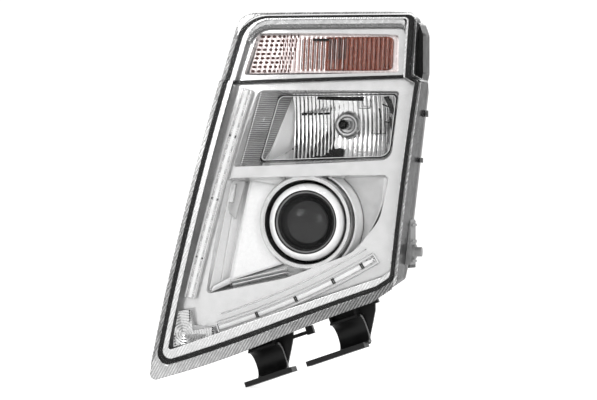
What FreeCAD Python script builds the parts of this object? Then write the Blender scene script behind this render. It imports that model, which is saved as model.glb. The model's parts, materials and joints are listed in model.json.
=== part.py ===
"""Left-hand headlamp assembly of a lorry: lens, housing, trim, lamps, aiming gear and feet.

Row frame: +X towards the outboard side (right, seen from the front), +Y rearwards, +Z up.
The origin lies on the axis of the cross tube, in the middle of the left foot's saddle.
"""

import FreeCAD, Part
import math
import os
import types

import Sketcher
from FreeCAD import Placement, Rotation, Vector

# ---------------------------------------------------------------- driving dimensions

SIZES = [
    ("lens_radius", 1100.0, "radius of the lens's outer face"),
    ("pole_x", -20.0, "foremost point of the lens, x"),
    ("pole_y", -60.0, "foremost point of the lens, y"),
    ("pole_z", 190.0, "foremost point of the lens, z"),
    ("lens_wall", 3.0, "lens thickness"),
    ("skirt_wall", 2.5, "thickness of the lens's side and top skirt"),
    ("skirt_back", 12.0, "rear edge of the lens's skirt, y"),
    ("step_depth", 6.0, "how far the lens is set back over the turn signal"),
    ("step_level", 351.0, "height of the step between the two parts of the lens"),
    ("seal_depth", 8.0, "depth of the bonding seal"),
    ("bezel_depth", 18.0, "bezel face behind the lens's outer face"),
    ("bezel_wall", 2.5, "thickness of the chromed trim"),
    ("bezel_back", 5.0, "rear edge of the trim's rim, y"),
    ("bezel_top", 347.0, "top of the main bezel at its inboard end"),
    ("signal_bottom", 351.5, "underside of the signal trim at its inboard end"),
    ("joint_slope", 1.6, "rise of the joint between the two trims towards the outboard side, degrees"),
    ("rim_back", 30.0, "where the housing starts to taper, y"),
    ("rear_wall", 100.0, "rear wall of the housing, y"),
    ("wall", 2.5, "housing wall"),
    ("taper", 20.0, "how far the housing draws in towards the rear wall"),
    ("low_x", 58.0, "low beam axis, x"),
    ("low_z", 175.0, "low beam axis, z"),
    ("high_x", 87.0, "high beam axis, x"),
    ("high_z", 297.5, "high beam axis, z"),
    ("signal_x", 105.0, "signal bulb axis, x"),
    ("signal_z", 383.0, "signal bulb axis, z"),
    ("collar_bore", 52.6, "radius of the bezel's collar around the low beam"),
    ("collar_outer", 58.6, "outer radius of that collar"),
    ("collar_front", -23.0, "front edge of the collar, y"),
    ("ring_outer", 48.3, "outer radius of the projector's chrome ring"),
    ("barrel_radius", 40.0, "outer radius of the projector's barrel"),
    ("glass_radius", 35.0, "radius of the projector lens"),
    ("low_neck", 46.0, "outer radius of the low beam's service neck"),
    ("high_neck", 39.0, "outer radius of the high beam's service neck"),
    ("low_neck_back", 160.0, "rear edge of the low beam's neck, y"),
    ("high_neck_back", 134.0, "rear edge of the high beam's neck, y"),
    ("box_radius", 60.0, "outer radius of the low beam's rear box"),
    ("box_back", 142.0, "rear wall of the low beam's rear box, y"),
    ("lug_height", 2.6, "how far a bayonet lug stands off its neck"),
    ("aim_y", 40.0, "plane of the aiming points, y"),
    ("pivot_x", 150.0, "ball pivot, x"),
    ("pivot_z", 228.0, "ball pivot, z"),
    ("level_z", 146.0, "levelling rod, z"),
    ("side_aim_x", -2.0, "horizontal aiming rod, x"),
    ("ball_radius", 5.0, "ball ends of the aiming rods"),
    ("rod_radius", 3.0, "aiming rods"),
    ("stud_ball", 6.5, "ball of the pivot stud"),
    ("play", 0.3, "clearance around the balls"),
    ("run_fit", 0.04, "radial clearance of a running fit"),
    ("carrier_wall", 5.0, "thickness of the carrier plate"),
    ("tube_radius", 16.5, "saddle bore for the cross tube"),
    ("saddle_wall", 3.0, "saddle thickness"),
    ("foot_pitch", 112.0, "distance between the two feet along the cross tube"),
    ("tube_angle", 18.7, "slope of the cross tube, degrees"),
    ("saddle_length", 36.0, "length of each saddle along the tube"),
]

doc = FreeCAD.newDocument("Headlamp")
sheet = doc.addObject("Spreadsheet::Sheet", "Sizes")
for row, (alias, value, note) in enumerate(SIZES, start=1):
    sheet.set(f"A{row}", note)
    sheet.set(f"B{row}", str(value))
    sheet.setAlias(f"B{row}", alias)
doc.recompute()


class Dim:
    """A length with its value and the expression that ties it to the sheet."""

    def __init__(self, value, text):
        self.value = float(value)
        self.text = text

    def __float__(self):
        return self.value

    def __neg__(self):
        return Dim(-self.value, f"(0 - {self.text})")

    def __add__(self, other):
        other = as_dim(other)
        return Dim(self.value + other.value, f"({self.text} + {other.text})")

    __radd__ = __add__

    def __sub__(self, other):
        other = as_dim(other)
        return Dim(self.value - other.value, f"({self.text} - {other.text})")

    def __rsub__(self, other):
        return as_dim(other) - self

    def __mul__(self, factor):
        return Dim(self.value * factor, f"({self.text} * {factor})")

    __rmul__ = __mul__


def as_dim(x):
    return x if isinstance(x, Dim) else Dim(x, repr(float(x)))


S = types.SimpleNamespace(**{a: Dim(sheet.get(a), f"Sizes.{a}") for a, _, _ in SIZES})

# ---------------------------------------------------------------- helpers

ALONG_Y = Rotation(Vector(1, 0, 0), -90)
SKETCH_XZ = Rotation(Vector(1, 0, 0), 90)
BIG = 700.0
parts = []


def bind(obj, path, x):
    """Sets a property from the sheet, or plainly where the value is a bare number."""
    x = as_dim(x)
    if "Sizes." in x.text:
        obj.setExpression(path, x.text)
    elif "." not in path:
        setattr(obj, path, x.value)


def place(obj, x, y, z, rotation=Rotation()):
    obj.Placement = Placement(Vector(float(x), float(y), float(z)), rotation)
    for axis, value in zip("xyz", (x, y, z)):
        bind(obj, f"Placement.Base.{axis}", value)
    return obj


def keep(obj, label):
    """Marks an object as a sub-part; its label names its file."""
    obj.Label = label
    parts.append(obj)
    return obj


def rod(name, radius, x, z, y_from, y_to):
    """A cylinder along Y."""
    made = doc.addObject("Part::Cylinder", name)
    bind(made, "Radius", radius)
    bind(made, "Height", as_dim(y_to) - y_from)
    return place(made, x, y_from, z, ALONG_Y)


def post(name, radius, start, direction, length):
    """A cylinder from a point along any direction."""
    made = doc.addObject("Part::Cylinder", name)
    bind(made, "Radius", radius)
    bind(made, "Height", length)
    return place(made, *start, Rotation(Vector(0, 0, 1), Vector(*direction)))


def ball(name, radius, x, y, z):
    made = doc.addObject("Part::Sphere", name)
    bind(made, "Radius", radius)
    return place(made, x, y, z)


def box(name, low, high):
    """A box between its lowest and highest corner."""
    made = doc.addObject("Part::Box", name)
    for side, a, b in zip(("Length", "Width", "Height"), low, high):
        bind(made, side, as_dim(b) - a)
    return place(made, *low)


def fuse(name, *shapes):
    made = doc.addObject("Part::MultiFuse", name)
    made.Shapes = list(shapes)
    return made


def common(name, *shapes):
    made = doc.addObject("Part::MultiCommon", name)
    made.Shapes = list(shapes)
    return made


def cut(name, base, *tools):
    made = doc.addObject("Part::Cut", name)
    made.Base = base
    made.Tool = tools[0] if len(tools) == 1 else fuse(name + "_tools", *tools)
    return made


def inset(corners, distances):
    """A polygon moved inwards, side by side; side i runs from corner i to the next one."""
    lines = []
    for (x0, z0), (x1, z1), d in zip(corners, corners[1:] + corners[:1], distances):
        dx, dz = x1 - x0, z1 - z0
        size = math.hypot(dx, dz)
        lines.append((x0 - dz / size * d, z0 + dx / size * d, dx, dz))
    moved = []
    for (x0, z0, dx0, dz0), (x1, z1, dx1, dz1) in zip(lines[-1:] + lines[:-1], lines):
        t = ((x1 - x0) * dz1 - (z1 - z0) * dx1) / (dx0 * dz1 - dz0 * dx1)
        moved.append((x0 + dx0 * t, z0 + dz0 * t))
    return moved


def between(corners_a, corners_b, share):
    """Corners on the straight lines from one polygon to another, or past them."""
    return [
        (xa + (xb - xa) * share, za + (zb - za) * share)
        for (xa, za), (xb, zb) in zip(corners_a, corners_b)
    ]


def rounded(corners, radii):
    """Edges of a polygon with its corners rounded, as lines and arcs in a sketch's plane."""
    if not isinstance(radii, (list, tuple)):
        radii = [radii] * len(corners)
    bends = []
    for i, radius in enumerate(radii):
        before = Vector(*corners[i - 1], 0)
        corner = Vector(*corners[i], 0)
        after = Vector(*corners[(i + 1) % len(corners)], 0)
        to_before = (before - corner).normalize()
        to_after = (after - corner).normalize()
        half = to_before.getAngle(to_after) / 2
        reach = radius / math.tan(half)
        inner = (to_before + to_after).normalize()
        middle = corner + inner * (radius / math.sin(half) - radius)
        bends.append((corner + to_before * reach, middle, corner + to_after * reach))
    edges = []
    for i, (start, middle, end) in enumerate(bends):
        if radii[i] > 0:
            edges.append(Part.Arc(start, middle, end))
        edges.append(Part.LineSegment(end, bends[(i + 1) % len(bends)][0]))
    return edges


def outline(name, edges, y):
    """A sketch in a plane of constant Y, its axes along X and Z."""
    sketch = doc.addObject("Sketcher::SketchObject", name)
    sketch.addGeometry(edges, False)
    return place(sketch, 0, y, 0, SKETCH_XZ)


def prism(name, corners, radii, y_from, y_to):
    """A rounded polygon extruded along Y."""
    return extruded(name, rounded(corners, radii), y_from, y_to)


def extruded(name, edges, y_from, y_to):
    made = doc.addObject("Part::Extrusion", name)
    made.Base = outline(name + "_outline", edges, y_from)
    made.DirMode = "Custom"
    made.Dir = Vector(0, 1, 0)
    made.Solid = True
    bind(made, "LengthFwd", as_dim(y_to) - y_from)
    return made


def frustum(name, corners_a, y_a, corners_b, y_b, radii):
    """A straight-sided loft between two rounded polygons."""
    made = doc.addObject("Part::Loft", name)
    made.Sections = [
        outline(name + "_near", rounded(corners_a, radii), y_a),
        outline(name + "_far", rounded(corners_b, radii), y_b),
    ]
    made.Solid = True
    made.Ruled = True
    return made


def origin_plane(body, role):
    return next(f for f in body.Origin.OriginFeatures if f.Role == role)


def profile_sketch(body, name, role, corners):
    """A closed polygon on one of a body's planes, every corner tied to the sheet."""
    sketch = body.newObject("Sketcher::SketchObject", name)
    sketch.AttachmentSupport = [(origin_plane(body, role), "")]
    sketch.MapMode = "FlatFace"
    points = [Vector(float(u), float(v), 0) for u, v in corners]
    count = len(points)
    edges = [Part.LineSegment(points[i], points[(i + 1) % count]) for i in range(count)]
    sketch.addGeometry(edges, False)
    for i in range(count):
        sketch.addConstraint(Sketcher.Constraint("Coincident", i, 2, (i + 1) % count, 1))
    for i, (u, v) in enumerate(corners):
        for kind, value, axis in (("DistanceX", u, -2), ("DistanceY", v, -1)):
            value = as_dim(value)
            if abs(value.value) < 1e-9:
                sketch.addConstraint(Sketcher.Constraint("PointOnObject", i, 1, axis))
                continue
            index = sketch.addConstraint(Sketcher.Constraint(kind, -1, 1, i, 1, value.value))
            if "Sizes." in value.text:
                sketch.setExpression(f"Constraints[{index}]", value.text)
    return sketch


def turned(name, corners, x, z):
    """A body of revolution about an axis along Y; corners are (radius, y)."""
    body = doc.addObject("PartDesign::Body", name)
    sketch = profile_sketch(body, name + "_profile", "XY_Plane", corners)
    turn = body.newObject("PartDesign::Revolution", name + "_turn")
    turn.Profile = sketch
    turn.ReferenceAxis = (sketch, ["V_Axis"])
    turn.Angle = 360
    return place(body, x, 0, z)


def turned_curve(name, edges, x, z):
    """A revolution about an axis along Y of a profile with arcs, drawn in the XY plane."""
    sketch = doc.addObject("Sketcher::SketchObject", name + "_profile")
    sketch.addGeometry(edges, False)
    made = doc.addObject("Part::Revolution", name)
    made.Source = sketch
    made.Axis = Vector(0, 1, 0)
    made.Angle = 360
    made.Solid = True
    return place(made, x, 0, z)


def path(*points):
    """Lines through points in the XY plane; a point given as a triple bends through its middle."""
    edges = []
    for start, end in zip(points, points[1:] + points[:1]):
        a = Vector(*(float(v) for v in start[:2]), 0)
        b = Vector(*(float(v) for v in end[:2]), 0)
        if len(start) == 3:
            edges.append(Part.Arc(a, Vector(*(float(v) for v in start[2]), 0), b))
        else:
            edges.append(Part.LineSegment(a, b))
    return edges


# ---------------------------------------------------------------- outline of the lamp

# Corners seen from the front, anticlockwise from the low inboard point. Sides in order:
# bottom, lower outboard, outboard, shelf, outboard beside the signal, top, inboard.
LENS = [(-145, -20), (145, 78.3), (175, 98.3), (205, 351.5), (193.3, 357.5), (195, 435), (-26.5, 435)]
LENS_RADII = [7, 30, 8, 5, 4, 10, 19]
RIM_RADII = [10, 12, 6, 4, 3, 9, 42]
SIDES = len(LENS)
TAPERS = [S.taper.value - draw for draw in (0, 0, 6, 6, 0, 0, 0)]


def lens_ball(name, depth):
    """The ball whose surface lies a depth behind the lens's outer face, over the main beams."""
    centre_y = S.pole_y + S.lens_radius
    return ball(name, S.lens_radius - depth, S.pole_x, centre_y, S.pole_z)


def below(name, level):
    return box(name, (-BIG, -BIG, -BIG), (BIG, BIG, level))


def above(name, level):
    return box(name, (-BIG, -BIG, level), (BIG, BIG, BIG))


def sloped(half_space):
    """Tilts a half space so that its edge runs along the joint between the two trims."""
    turn = Rotation(Vector(0, 1, 0), -S.joint_slope.value)
    return within(Placement(Vector(), turn, Vector(-24, 0, S.bezel_top.value)), half_space)


def front_solid(name, depth):
    """All that lies deeper than depth behind the lens's face, which steps back over the signal."""
    depth = as_dim(depth)
    lower = common(
        name + "_lower", lens_ball(name + "_ball", depth), below(name + "_below", S.step_level - depth)
    )
    return fuse(name, lower, lens_ball(name + "_upper", depth + S.step_depth))


def layer(name, solid, front, back):
    """The part of a solid between two depths behind the lens's face."""
    kept = common(name + "_front", solid, lens_ball(name + "_outer", front))
    return cut(name, kept, lens_ball(name + "_inner", back))


def face_y(x, z, depth):
    """Y of the point at a depth behind the lens's face."""
    radius = S.lens_radius.value - depth
    aside = (x - S.pole_x.value) ** 2 + (z - S.pole_z.value) ** 2
    return S.pole_y.value + S.lens_radius.value - math.sqrt(radius**2 - aside)


def within(frame, obj):
    """Moves an object that was made in a local frame to where that frame lies."""
    for axis in "xyz":
        obj.setExpression(f"Placement.Base.{axis}", None)
    obj.Placement = frame.multiply(obj.Placement)
    return obj


def about_y(x, z, degrees):
    """A frame on an axis along Y, turned about it."""
    return Placement(Vector(float(x), 0, float(z)), Rotation(Vector(0, 1, 0), degrees))


# ---------------------------------------------------------------- lens and seal

SEAL_OUTER = inset(LENS, [12.5, 8.5, 4.3, 4.3, 5.0, 3.4, 5.6])
SEAL_INNER = inset(LENS, [17.0, 13.0, 7.9, 7.9, 10.0, 5.8, 10.4])
RIM_OUTER = inset(LENS, [10.5, 6.5, 3.2, 3.2, 3.0, 3.0, 3.4])
RIM_INNER = inset(LENS, [18.8, 14.8, 9.0, 9.0, 12.0, 7.8, 11.6])


def build_lens():
    blank = common(
        "lens_blank",
        prism("lens_prism", LENS, LENS_RADII, -90, S.skirt_back),
        front_solid("lens_face", 0),
    )
    skirt = S.skirt_wall.value
    hollow = common(
        "lens_hollow",
        prism(
            "lens_core", inset(LENS, [-8, -8, skirt, skirt, skirt, skirt, -8]),
            [3, 3, 3, 3, 3, 7, 3], -90, 20,
        ),
        front_solid("lens_back", S.lens_wall),
    )
    keep(cut("lens", blank, hollow), "outer_lens")


def seal_ring(name):
    return cut(
        name,
        prism(name + "_outer", SEAL_OUTER, RIM_RADII, -90, 20),
        prism(name + "_inner", SEAL_INNER, RIM_RADII, -91, 21),
    )


def build_seal():
    bedded = common("seal_bedded", seal_ring("seal_ring"), front_solid("seal_front", S.lens_wall))
    floor = front_solid("seal_floor", S.lens_wall + S.seal_depth)
    keep(cut("seal", bedded, floor), "lens_seal")


# ---------------------------------------------------------------- housing

BRACKET_HOLES = [12, 68]
BRACKET_SCREW_Z = 385
DRIVER_SCREWS = [(-66, 97), (-8, 97)]
VENTS = [(-12, 330), (20, 92)]
CONNECTOR_LOW, CONNECTOR_HIGH = (-44, 183), (-12, 207)


def lugs(name, neck, x, z, y_from, y_to, count=3, width=10):
    """Bayonet lugs round a neck, the first one at the top."""
    made = []
    for i in range(count):
        low, high = (-width / 2, y_from, neck - 1), (width / 2, y_to, neck + S.lug_height)
        made.append(within(about_y(x, z, 360 / count * i), box(f"{name}_{i}", low, high)))
    return made


def rear_ribs():
    """Stiffening ribs on the rear wall."""
    y = S.rear_wall
    upright = [(30, 250, 365), (140, 250, 400), (-30, 225, 310), (-78, 70, 150)]
    level = [(-20, 160, 352), (-35, 35, 262), (-70, -6, 150), (-75, 0, 62)]
    made = [box(f"rib_up_{x}", (x, y - 1, low), (x + 2, y + 5, high)) for x, low, high in upright]
    return made + [
        box(f"rib_level_{z}", (low, y - 1, z), (high, y + 5, z + 2)) for low, high, z in level
    ]


def side_lobe():
    """A hollow bulge that closes the gap to the wing beside the turn signal."""
    outer = [(184, 349), (196, 349), (198.5, 360), (198.5, 408), (193.5, 422), (184, 426)]
    inner = inset(outer, [S.wall.value] * 6)
    front = S.skirt_back + 1.5
    return cut(
        "lobe",
        prism("lobe_outer", outer, [1, 4, 8, 12, 6, 1], front, 50),
        prism("lobe_inner", inner, [1, 2, 6, 10, 4, 1], front + S.wall, 51),
    )


def housing_walls():
    wall = S.wall
    back_outer = inset(RIM_OUTER, TAPERS)
    lining = inset(RIM_OUTER, [wall.value] * SIDES)
    back_lining = inset(back_outer, [wall.value] * SIDES)
    high_box = S.high_neck + 8
    high_box_back = S.rear_wall + 14
    solid = [
        common(
            "rim_block",
            prism("rim_prism", RIM_OUTER, RIM_RADII, -90, S.rim_back),
            front_solid("rim_front", S.lens_wall + 1),
        ),
        frustum("rear_body", RIM_OUTER, S.rim_back, back_outer, S.rear_wall, RIM_RADII),
        rod("low_box", S.box_radius, S.low_x, S.low_z, 90, S.box_back),
        rod("low_neck", S.low_neck, S.low_x, S.low_z, 100, S.low_neck_back),
        rod("high_box", high_box, S.high_x, S.high_z, 90, high_box_back),
        rod("high_neck", S.high_neck, S.high_x, S.high_z, 100, S.high_neck_back),
        rod("signal_boss", 21, S.signal_x, S.signal_z, 90, S.rear_wall + 6),
        rod("side_aim_boss", 11, S.side_aim_x, S.pivot_z, 90, S.rear_wall + 8),
        rod("level_boss", 13, S.pivot_x, S.level_z, 90, S.rear_wall + 4),
    ]
    solid += lugs("low_lug", S.low_neck, S.low_x, S.low_z, 150, 154)
    solid += lugs("high_lug", S.high_neck, S.high_x, S.high_z, 124, 128)
    solid += rear_ribs()
    solid.append(side_lobe())
    hollow = [
        prism("rim_hollow", RIM_INNER, RIM_RADII, -95, S.rim_back),
        common(
            "behind_flange",
            prism("lining", lining, RIM_RADII, -95, S.rim_back),
            front_solid("flange_back", S.lens_wall + S.seal_depth + wall),
        ),
        frustum("rear_hollow", lining, S.rim_back, back_lining, S.rear_wall - wall, RIM_RADII),
        rod("low_box_hollow", S.box_radius - wall, S.low_x, S.low_z, 60, S.box_back - wall),
        rod("low_port", S.low_neck - wall, S.low_x, S.low_z, 90, 170),
        rod("high_box_hollow", high_box - wall, S.high_x, S.high_z, 60, high_box_back - wall),
        rod("high_port", S.high_neck - wall, S.high_x, S.high_z, 90, 150),
        rod("signal_port", 17, S.signal_x, S.signal_z, 60, 120),
        rod("side_aim_port", S.rod_radius + 2, S.side_aim_x, S.pivot_z, 60, 120),
        rod("level_port", 8, S.pivot_x, S.level_z, 60, 120),
        rod("stud_hole", 4.2, S.pivot_x, S.pivot_z, 60, 120),
        cut("groove", seal_ring("groove_ring"), front_solid("groove_floor", S.lens_wall + S.seal_depth)),
        box(
            "signal_notch",
            (S.signal_x - 20, 60, S.signal_z - 4),
            (S.signal_x + 20, 120, S.signal_z + 4),
        ),
        box(
            "connector_cutout",
            (CONNECTOR_LOW[0] - 0.3, 60, CONNECTOR_LOW[1] - 0.3),
            (CONNECTOR_HIGH[0] + 0.3, 120, CONNECTOR_HIGH[1] + 0.3),
        ),
    ]
    hollow += [rod(f"vent_hole_{i}", 4, x, z, 60, 120) for i, (x, z) in enumerate(VENTS)]
    return cut("shell", fuse("shell_solid", *solid), *hollow)


def rear_screw_places():
    """Screws into the rear wall: the upper bracket's, then the driver's."""
    return [(x, BRACKET_SCREW_Z) for x in BRACKET_HOLES] + DRIVER_SCREWS


def build_housing():
    inside = S.rear_wall - S.wall
    bosses = [
        rod(f"rear_boss_{i}", 5, x, z, inside - 10, S.rear_wall - 0.5)
        for i, (x, z) in enumerate(rear_screw_places())
    ]
    holes = [
        rod(f"rear_screw_hole_{i}", 2.1, x, z, inside - 8, S.rear_wall + 1)
        for i, (x, z) in enumerate(rear_screw_places())
    ]
    for i, frame in enumerate(foot_frames()):
        for side in (-1, 1):
            x = side * FOOT_SCREW_X
            boss = post(f"foot_boss_{i}_{side}", 5, (x, FOOT_SCREW_Y, FOOT_TOP + 0.5), (0, 0, 1), 12)
            hole = post(f"foot_hole_{i}_{side}", 2.1, (x, FOOT_SCREW_Y, FOOT_TOP - 2), (0, 0, 1), 13)
            bosses.append(within(frame, boss))
            holes.append(within(frame, hole))
    keep(cut("housing_drilled", fuse("housing_bossed", housing_walls(), *bosses), *holes), "housing")


def outer_skin(name, gap):
    """The housing's outside, a little larger, to shape what sits against it."""
    grown = inset(RIM_OUTER, [-gap] * SIDES)
    back = inset(grown, TAPERS)
    return [
        prism(name + "_rim", grown, RIM_RADII, -90, S.rim_back),
        frustum(name + "_rear", grown, S.rim_back, back, S.rear_wall, RIM_RADII),
    ]


# ---------------------------------------------------------------- feet and fixings

FOOT_TOP = 37.9
FOOT_SCREW_X, FOOT_SCREW_Y = 23.5, 16


def foot_frames():
    """Frames of the two feet: X along the cross tube, Z across it and up."""
    turn = Rotation(Vector(0, 1, 0), -S.tube_angle.value)
    along = turn.multVec(Vector(1, 0, 0))
    return [Placement(along * S.foot_pitch.value * i, turn) for i in range(2)]


def build_foot(label, frame, lip_from, lip_to, arms):
    """A saddle open to the front, with a lip below, a flange under the housing and webs between.

    A swept web stands behind its outboard end; arms are boxes that stick out beside it.
    """
    half = S.saddle_length * 0.5
    outer = S.tube_radius + S.saddle_wall
    shell = common(
        label + "_shell",
        within(frame, post(label + "_tube", outer, (-half, 0, 0), (1, 0, 0), half * 2)),
        within(frame, box(label + "_rear", (-half - 1, -3, -30), (half + 1, 30, 30))),
    )
    blocks = [
        ("lip", (lip_from, -13, -outer - 3.5), (lip_to, 12, -outer + 3)),
        ("flange", (-30, 3, FOOT_TOP - 3), (30, 27, FOOT_TOP)),
        ("web_a", (-half, 1, 8), (-half + 3, 25, FOOT_TOP - 2)),
        ("web_b", (half - 3, 1, 8), (half, 25, FOOT_TOP - 2)),
        ("spine", (-half, 17, 0), (half, 21, FOOT_TOP - 2)),
        ("end_rib", (half - 1, 4, -outer + 2), (half + 2.5, 21, 18)),
    ]
    blocks += [(f"arm_{i}", low, high) for i, (low, high) in enumerate(arms)]
    solid = [within(frame, box(f"{label}_{name}", low, high)) for name, low, high in blocks]
    sweep = [
        (half - 3, -outer), (half, -outer), (half + 2, -11), (half + 11, 4), (half + 19, 18),
        (half + 23, 30), (half + 6, FOOT_TOP - 2), (half - 3, FOOT_TOP - 2),
    ]
    web = prism(label + "_sweep", sweep, [0.5, 0.5, 8, 30, 20, 3, 3, 0.5], 21, 25)
    solid.append(within(frame, web))
    bore = within(frame, post(label + "_bore", S.tube_radius, (-70, 0, 0), (1, 0, 0), 140))
    mouth = within(frame, box(label + "_mouth", (-70, -40, -S.tube_radius), (70, 0, S.tube_radius)))
    holes = []
    for side in (-1, 1):
        hole = post(f"{label}_hole{side}", 2.4, (side * FOOT_SCREW_X, FOOT_SCREW_Y, 30), (0, 0, 1), 12)
        holes.append(within(frame, hole))
    keep(cut(label + "_cut", fuse(label + "_solid", shell, *solid), bore, mouth, *holes), label)


def build_foot_screws():
    made = []
    for i, frame in enumerate(foot_frames()):
        for side in (-1, 1):
            x = side * FOOT_SCREW_X
            head = post(f"foot_head_{i}_{side}", 4.5, (x, FOOT_SCREW_Y, FOOT_TOP - 6.2), (0, 0, 1), 3)
            shank = post(f"foot_shank_{i}_{side}", 2.0, (x, FOOT_SCREW_Y, FOOT_TOP - 4), (0, 0, 1), 13)
            made.append(fuse(f"foot_screw_{i}_{side}", within(frame, head), within(frame, shank)))
    keep(group("foot_screw_group", made), "foot_screws")


def group(name, members):
    """Separate solids in one node."""
    made = doc.addObject("Part::Compound", name)
    made.Links = members
    return made


def rear_screw(name, x, z, seat):
    """A pan-head screw driven forwards into the rear wall."""
    shank = [(0, 90.5), (2.0, 90.5), (2.0, seat)]
    head = [(4.5, seat), (4.5, seat + 2), (3, seat + 3), (0, seat + 3)]
    return turned(name, shank + head, x, z)


def build_upper_bracket():
    seat = S.rear_wall + 0.2
    low, high = BRACKET_HOLES
    plate = box("bracket_plate", (low - 12, seat, 372), (high + 12, seat + 4, 431))
    rib = box("bracket_rib", (low + 18, seat + 3, 374), (high - 18, seat + 10, 377))
    tools = [rod(f"bracket_hole_{x}", 3.3, x, 421, 90, 120) for x in BRACKET_HOLES]
    tools += [rod(f"bracket_fixing_{x}", 2.3, x, BRACKET_SCREW_Z, 90, 120) for x in BRACKET_HOLES]
    keep(cut("bracket", fuse("bracket_solid", plate, rib), *tools), "upper_bracket")
    screws = [rear_screw(f"bracket_screw_{x}", x, BRACKET_SCREW_Z, seat + 4.2) for x in BRACKET_HOLES]
    keep(group("bracket_screw_group", screws), "bracket_screws")


def build_side_fittings():
    skin = outer_skin("peg_skin", 0.15)
    plate = box("peg_plate", (166, 16, 122), (182, 42, 178))
    ribs = [box(f"peg_rib_{z}", (166, 18, z), (184.5, 40, z + 3)) for z in (125, 150, 170)]
    pin = fuse(
        "peg_pin",
        post("peg_boss", 9, (172, 30, 138), (1, 0, 0), 13.5),
        post("peg_shaft", 6, (172, 30, 138), (1, 0, 0), 21),
    )
    keep(cut("peg", fuse("peg_solid", plate, *ribs, pin), *skin), "locating_peg")
    clips = []
    for i, (z, reach, tall) in enumerate([(306, 1.6, 8), (249, 1.2, 6)]):
        x = 175 + (z - 98.3) * 30 / 253.2
        back = box(f"clip_back_{i}", (x - 12, 16, z), (x + 1, 34, z + tall))
        hook = box(f"clip_hook_{i}", (x - 4, 20, z + 2), (x + reach, 24, z + tall - 2))
        solid = fuse(f"clip_solid_{i}", back, hook)
        clips.append(cut(f"clip_{i}", solid, *outer_skin(f"clip_skin_{i}", 0.15)))
    keep(group("clip_group", clips), "housing_clips")


# ---------------------------------------------------------------- trim

BEZEL = inset(LENS, [21, 17, 10, 10, 14, 9, 15])
BEZEL[0] = (BEZEL[0][0] - 2.4, BEZEL[0][1] - 0.8)
BEZEL_RADII = [9, 20, 6, 3.5, 3, 7, 36]
# Each window: outline at the face, its y, outline at the back, its y, corner radii.
BEAM_WINDOW = (
    [(-27, 245), (168.5, 251), (180, 339), (-1, 339)], -32,
    [(-11, 250), (160, 255), (170, 335), (15, 335)], 2,
    [3, 15, 4, 10],
)
WELL = (
    [(-68, 85), (36, 106), (122, 137), (154.5, 178), (167, 235), (-36.5, 229)], -36,
    [(-52, 93), (36, 112), (116, 141), (147, 182), (157.5, 229), (-24, 223)], 8,
    [4, 70, 55, 45, 6, 8],
)
SIGNAL_WINDOW = (
    [(-19, 359), (175.5, 359), (175.5, 411), (-6, 411)], -20,
    [(-12, 362), (169, 362), (169, 406), (0, 406)], 4,
    [3, 3, 3, 8],
)


def pocket(name, window, grow=0.0):
    """A window's tapered walls as a solid, carried on to the front and grown by a wall."""
    face, y_face, rear, y_rear, radii = window
    ahead = -60
    start = between(face, rear, (ahead - y_face) / (y_rear - y_face))
    sides = [-float(grow)] * len(face)
    radii = [r + float(grow) for r in radii]
    return frustum(name, inset(start, sides), ahead, inset(rear, sides), y_rear, radii)


def bezel_shell(name, depth, keep_part, keep_core):
    """A thin shell that follows the lens and turns back at its edge."""
    wall = S.bezel_wall
    blank = common(
        name + "_blank",
        prism(name + "_prism", BEZEL, BEZEL_RADII, -80, S.bezel_back),
        lens_ball(name + "_ball", depth),
        keep_part,
    )
    core = common(
        name + "_core",
        prism(name + "_core_prism", inset(BEZEL, [wall.value] * SIDES), BEZEL_RADII, -80, 20),
        lens_ball(name + "_core_ball", depth + wall),
        keep_core,
    )
    return cut(name, blank, core)


SIDE_TOP, SIDE_FOOT = (-14, 340.5), (-88, 80)
ARC_CENTRE, ARC_RADIUS = (-317.3, 924.5), 920.5
ARC_START, ARC_END = -73.2, -59.6
GUIDE_HALF, RAIL = 4.8, 1.5


def strip(start, end, width):
    """Corners of a straight strip between two points."""
    along = Vector(end[0] - start[0], end[1] - start[1], 0).normalize() * (width / 2)
    side = Vector(-along.y, along.x, 0)
    ends = [(start, -1), (end, -1), (end, 1), (start, 1)]
    return [(point[0] + side.x * sign, point[1] + side.y * sign) for point, sign in ends]


def arc_band(half, past=0.0):
    """Edges of a band along the lower guide's arc, past its ends by an angle in degrees."""
    cx, cz = ARC_CENTRE
    start, end = ARC_START - past, ARC_END + past

    def at(radius, angle):
        turn = math.radians(angle)
        return (cx + radius * math.cos(turn), cz + radius * math.sin(turn))

    inner, outer, middle = ARC_RADIUS - half, ARC_RADIUS + half, (start + end) / 2
    return path(
        (*at(outer, start), at(outer, middle)),
        at(outer, end),
        (*at(inner, end), at(inner, middle)),
        at(inner, start),
    )


def guide_rails():
    """Raised rails on the bezel that frame the two light guides."""
    bed, frame = GUIDE_HALF + 0.2, GUIDE_HALF + RAIL
    side = cut(
        "side_rails",
        prism("side_rail_outer", strip(SIDE_FOOT, SIDE_TOP, frame * 2), 1, -90, 0),
        prism("side_rail_inner", strip(SIDE_FOOT, SIDE_TOP, bed * 2), 0.5, -91, 1),
    )
    lower = cut(
        "lower_rails",
        extruded("lower_rail_outer", arc_band(frame, 0.1), -90, 0),
        extruded("lower_rail_inner", arc_band(bed), -91, 1),
    )
    front, back = S.bezel_depth - 7, S.bezel_depth + 1
    return [layer("side_frame", side, front, back), layer("lower_frame", lower, front, back)]


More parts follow.
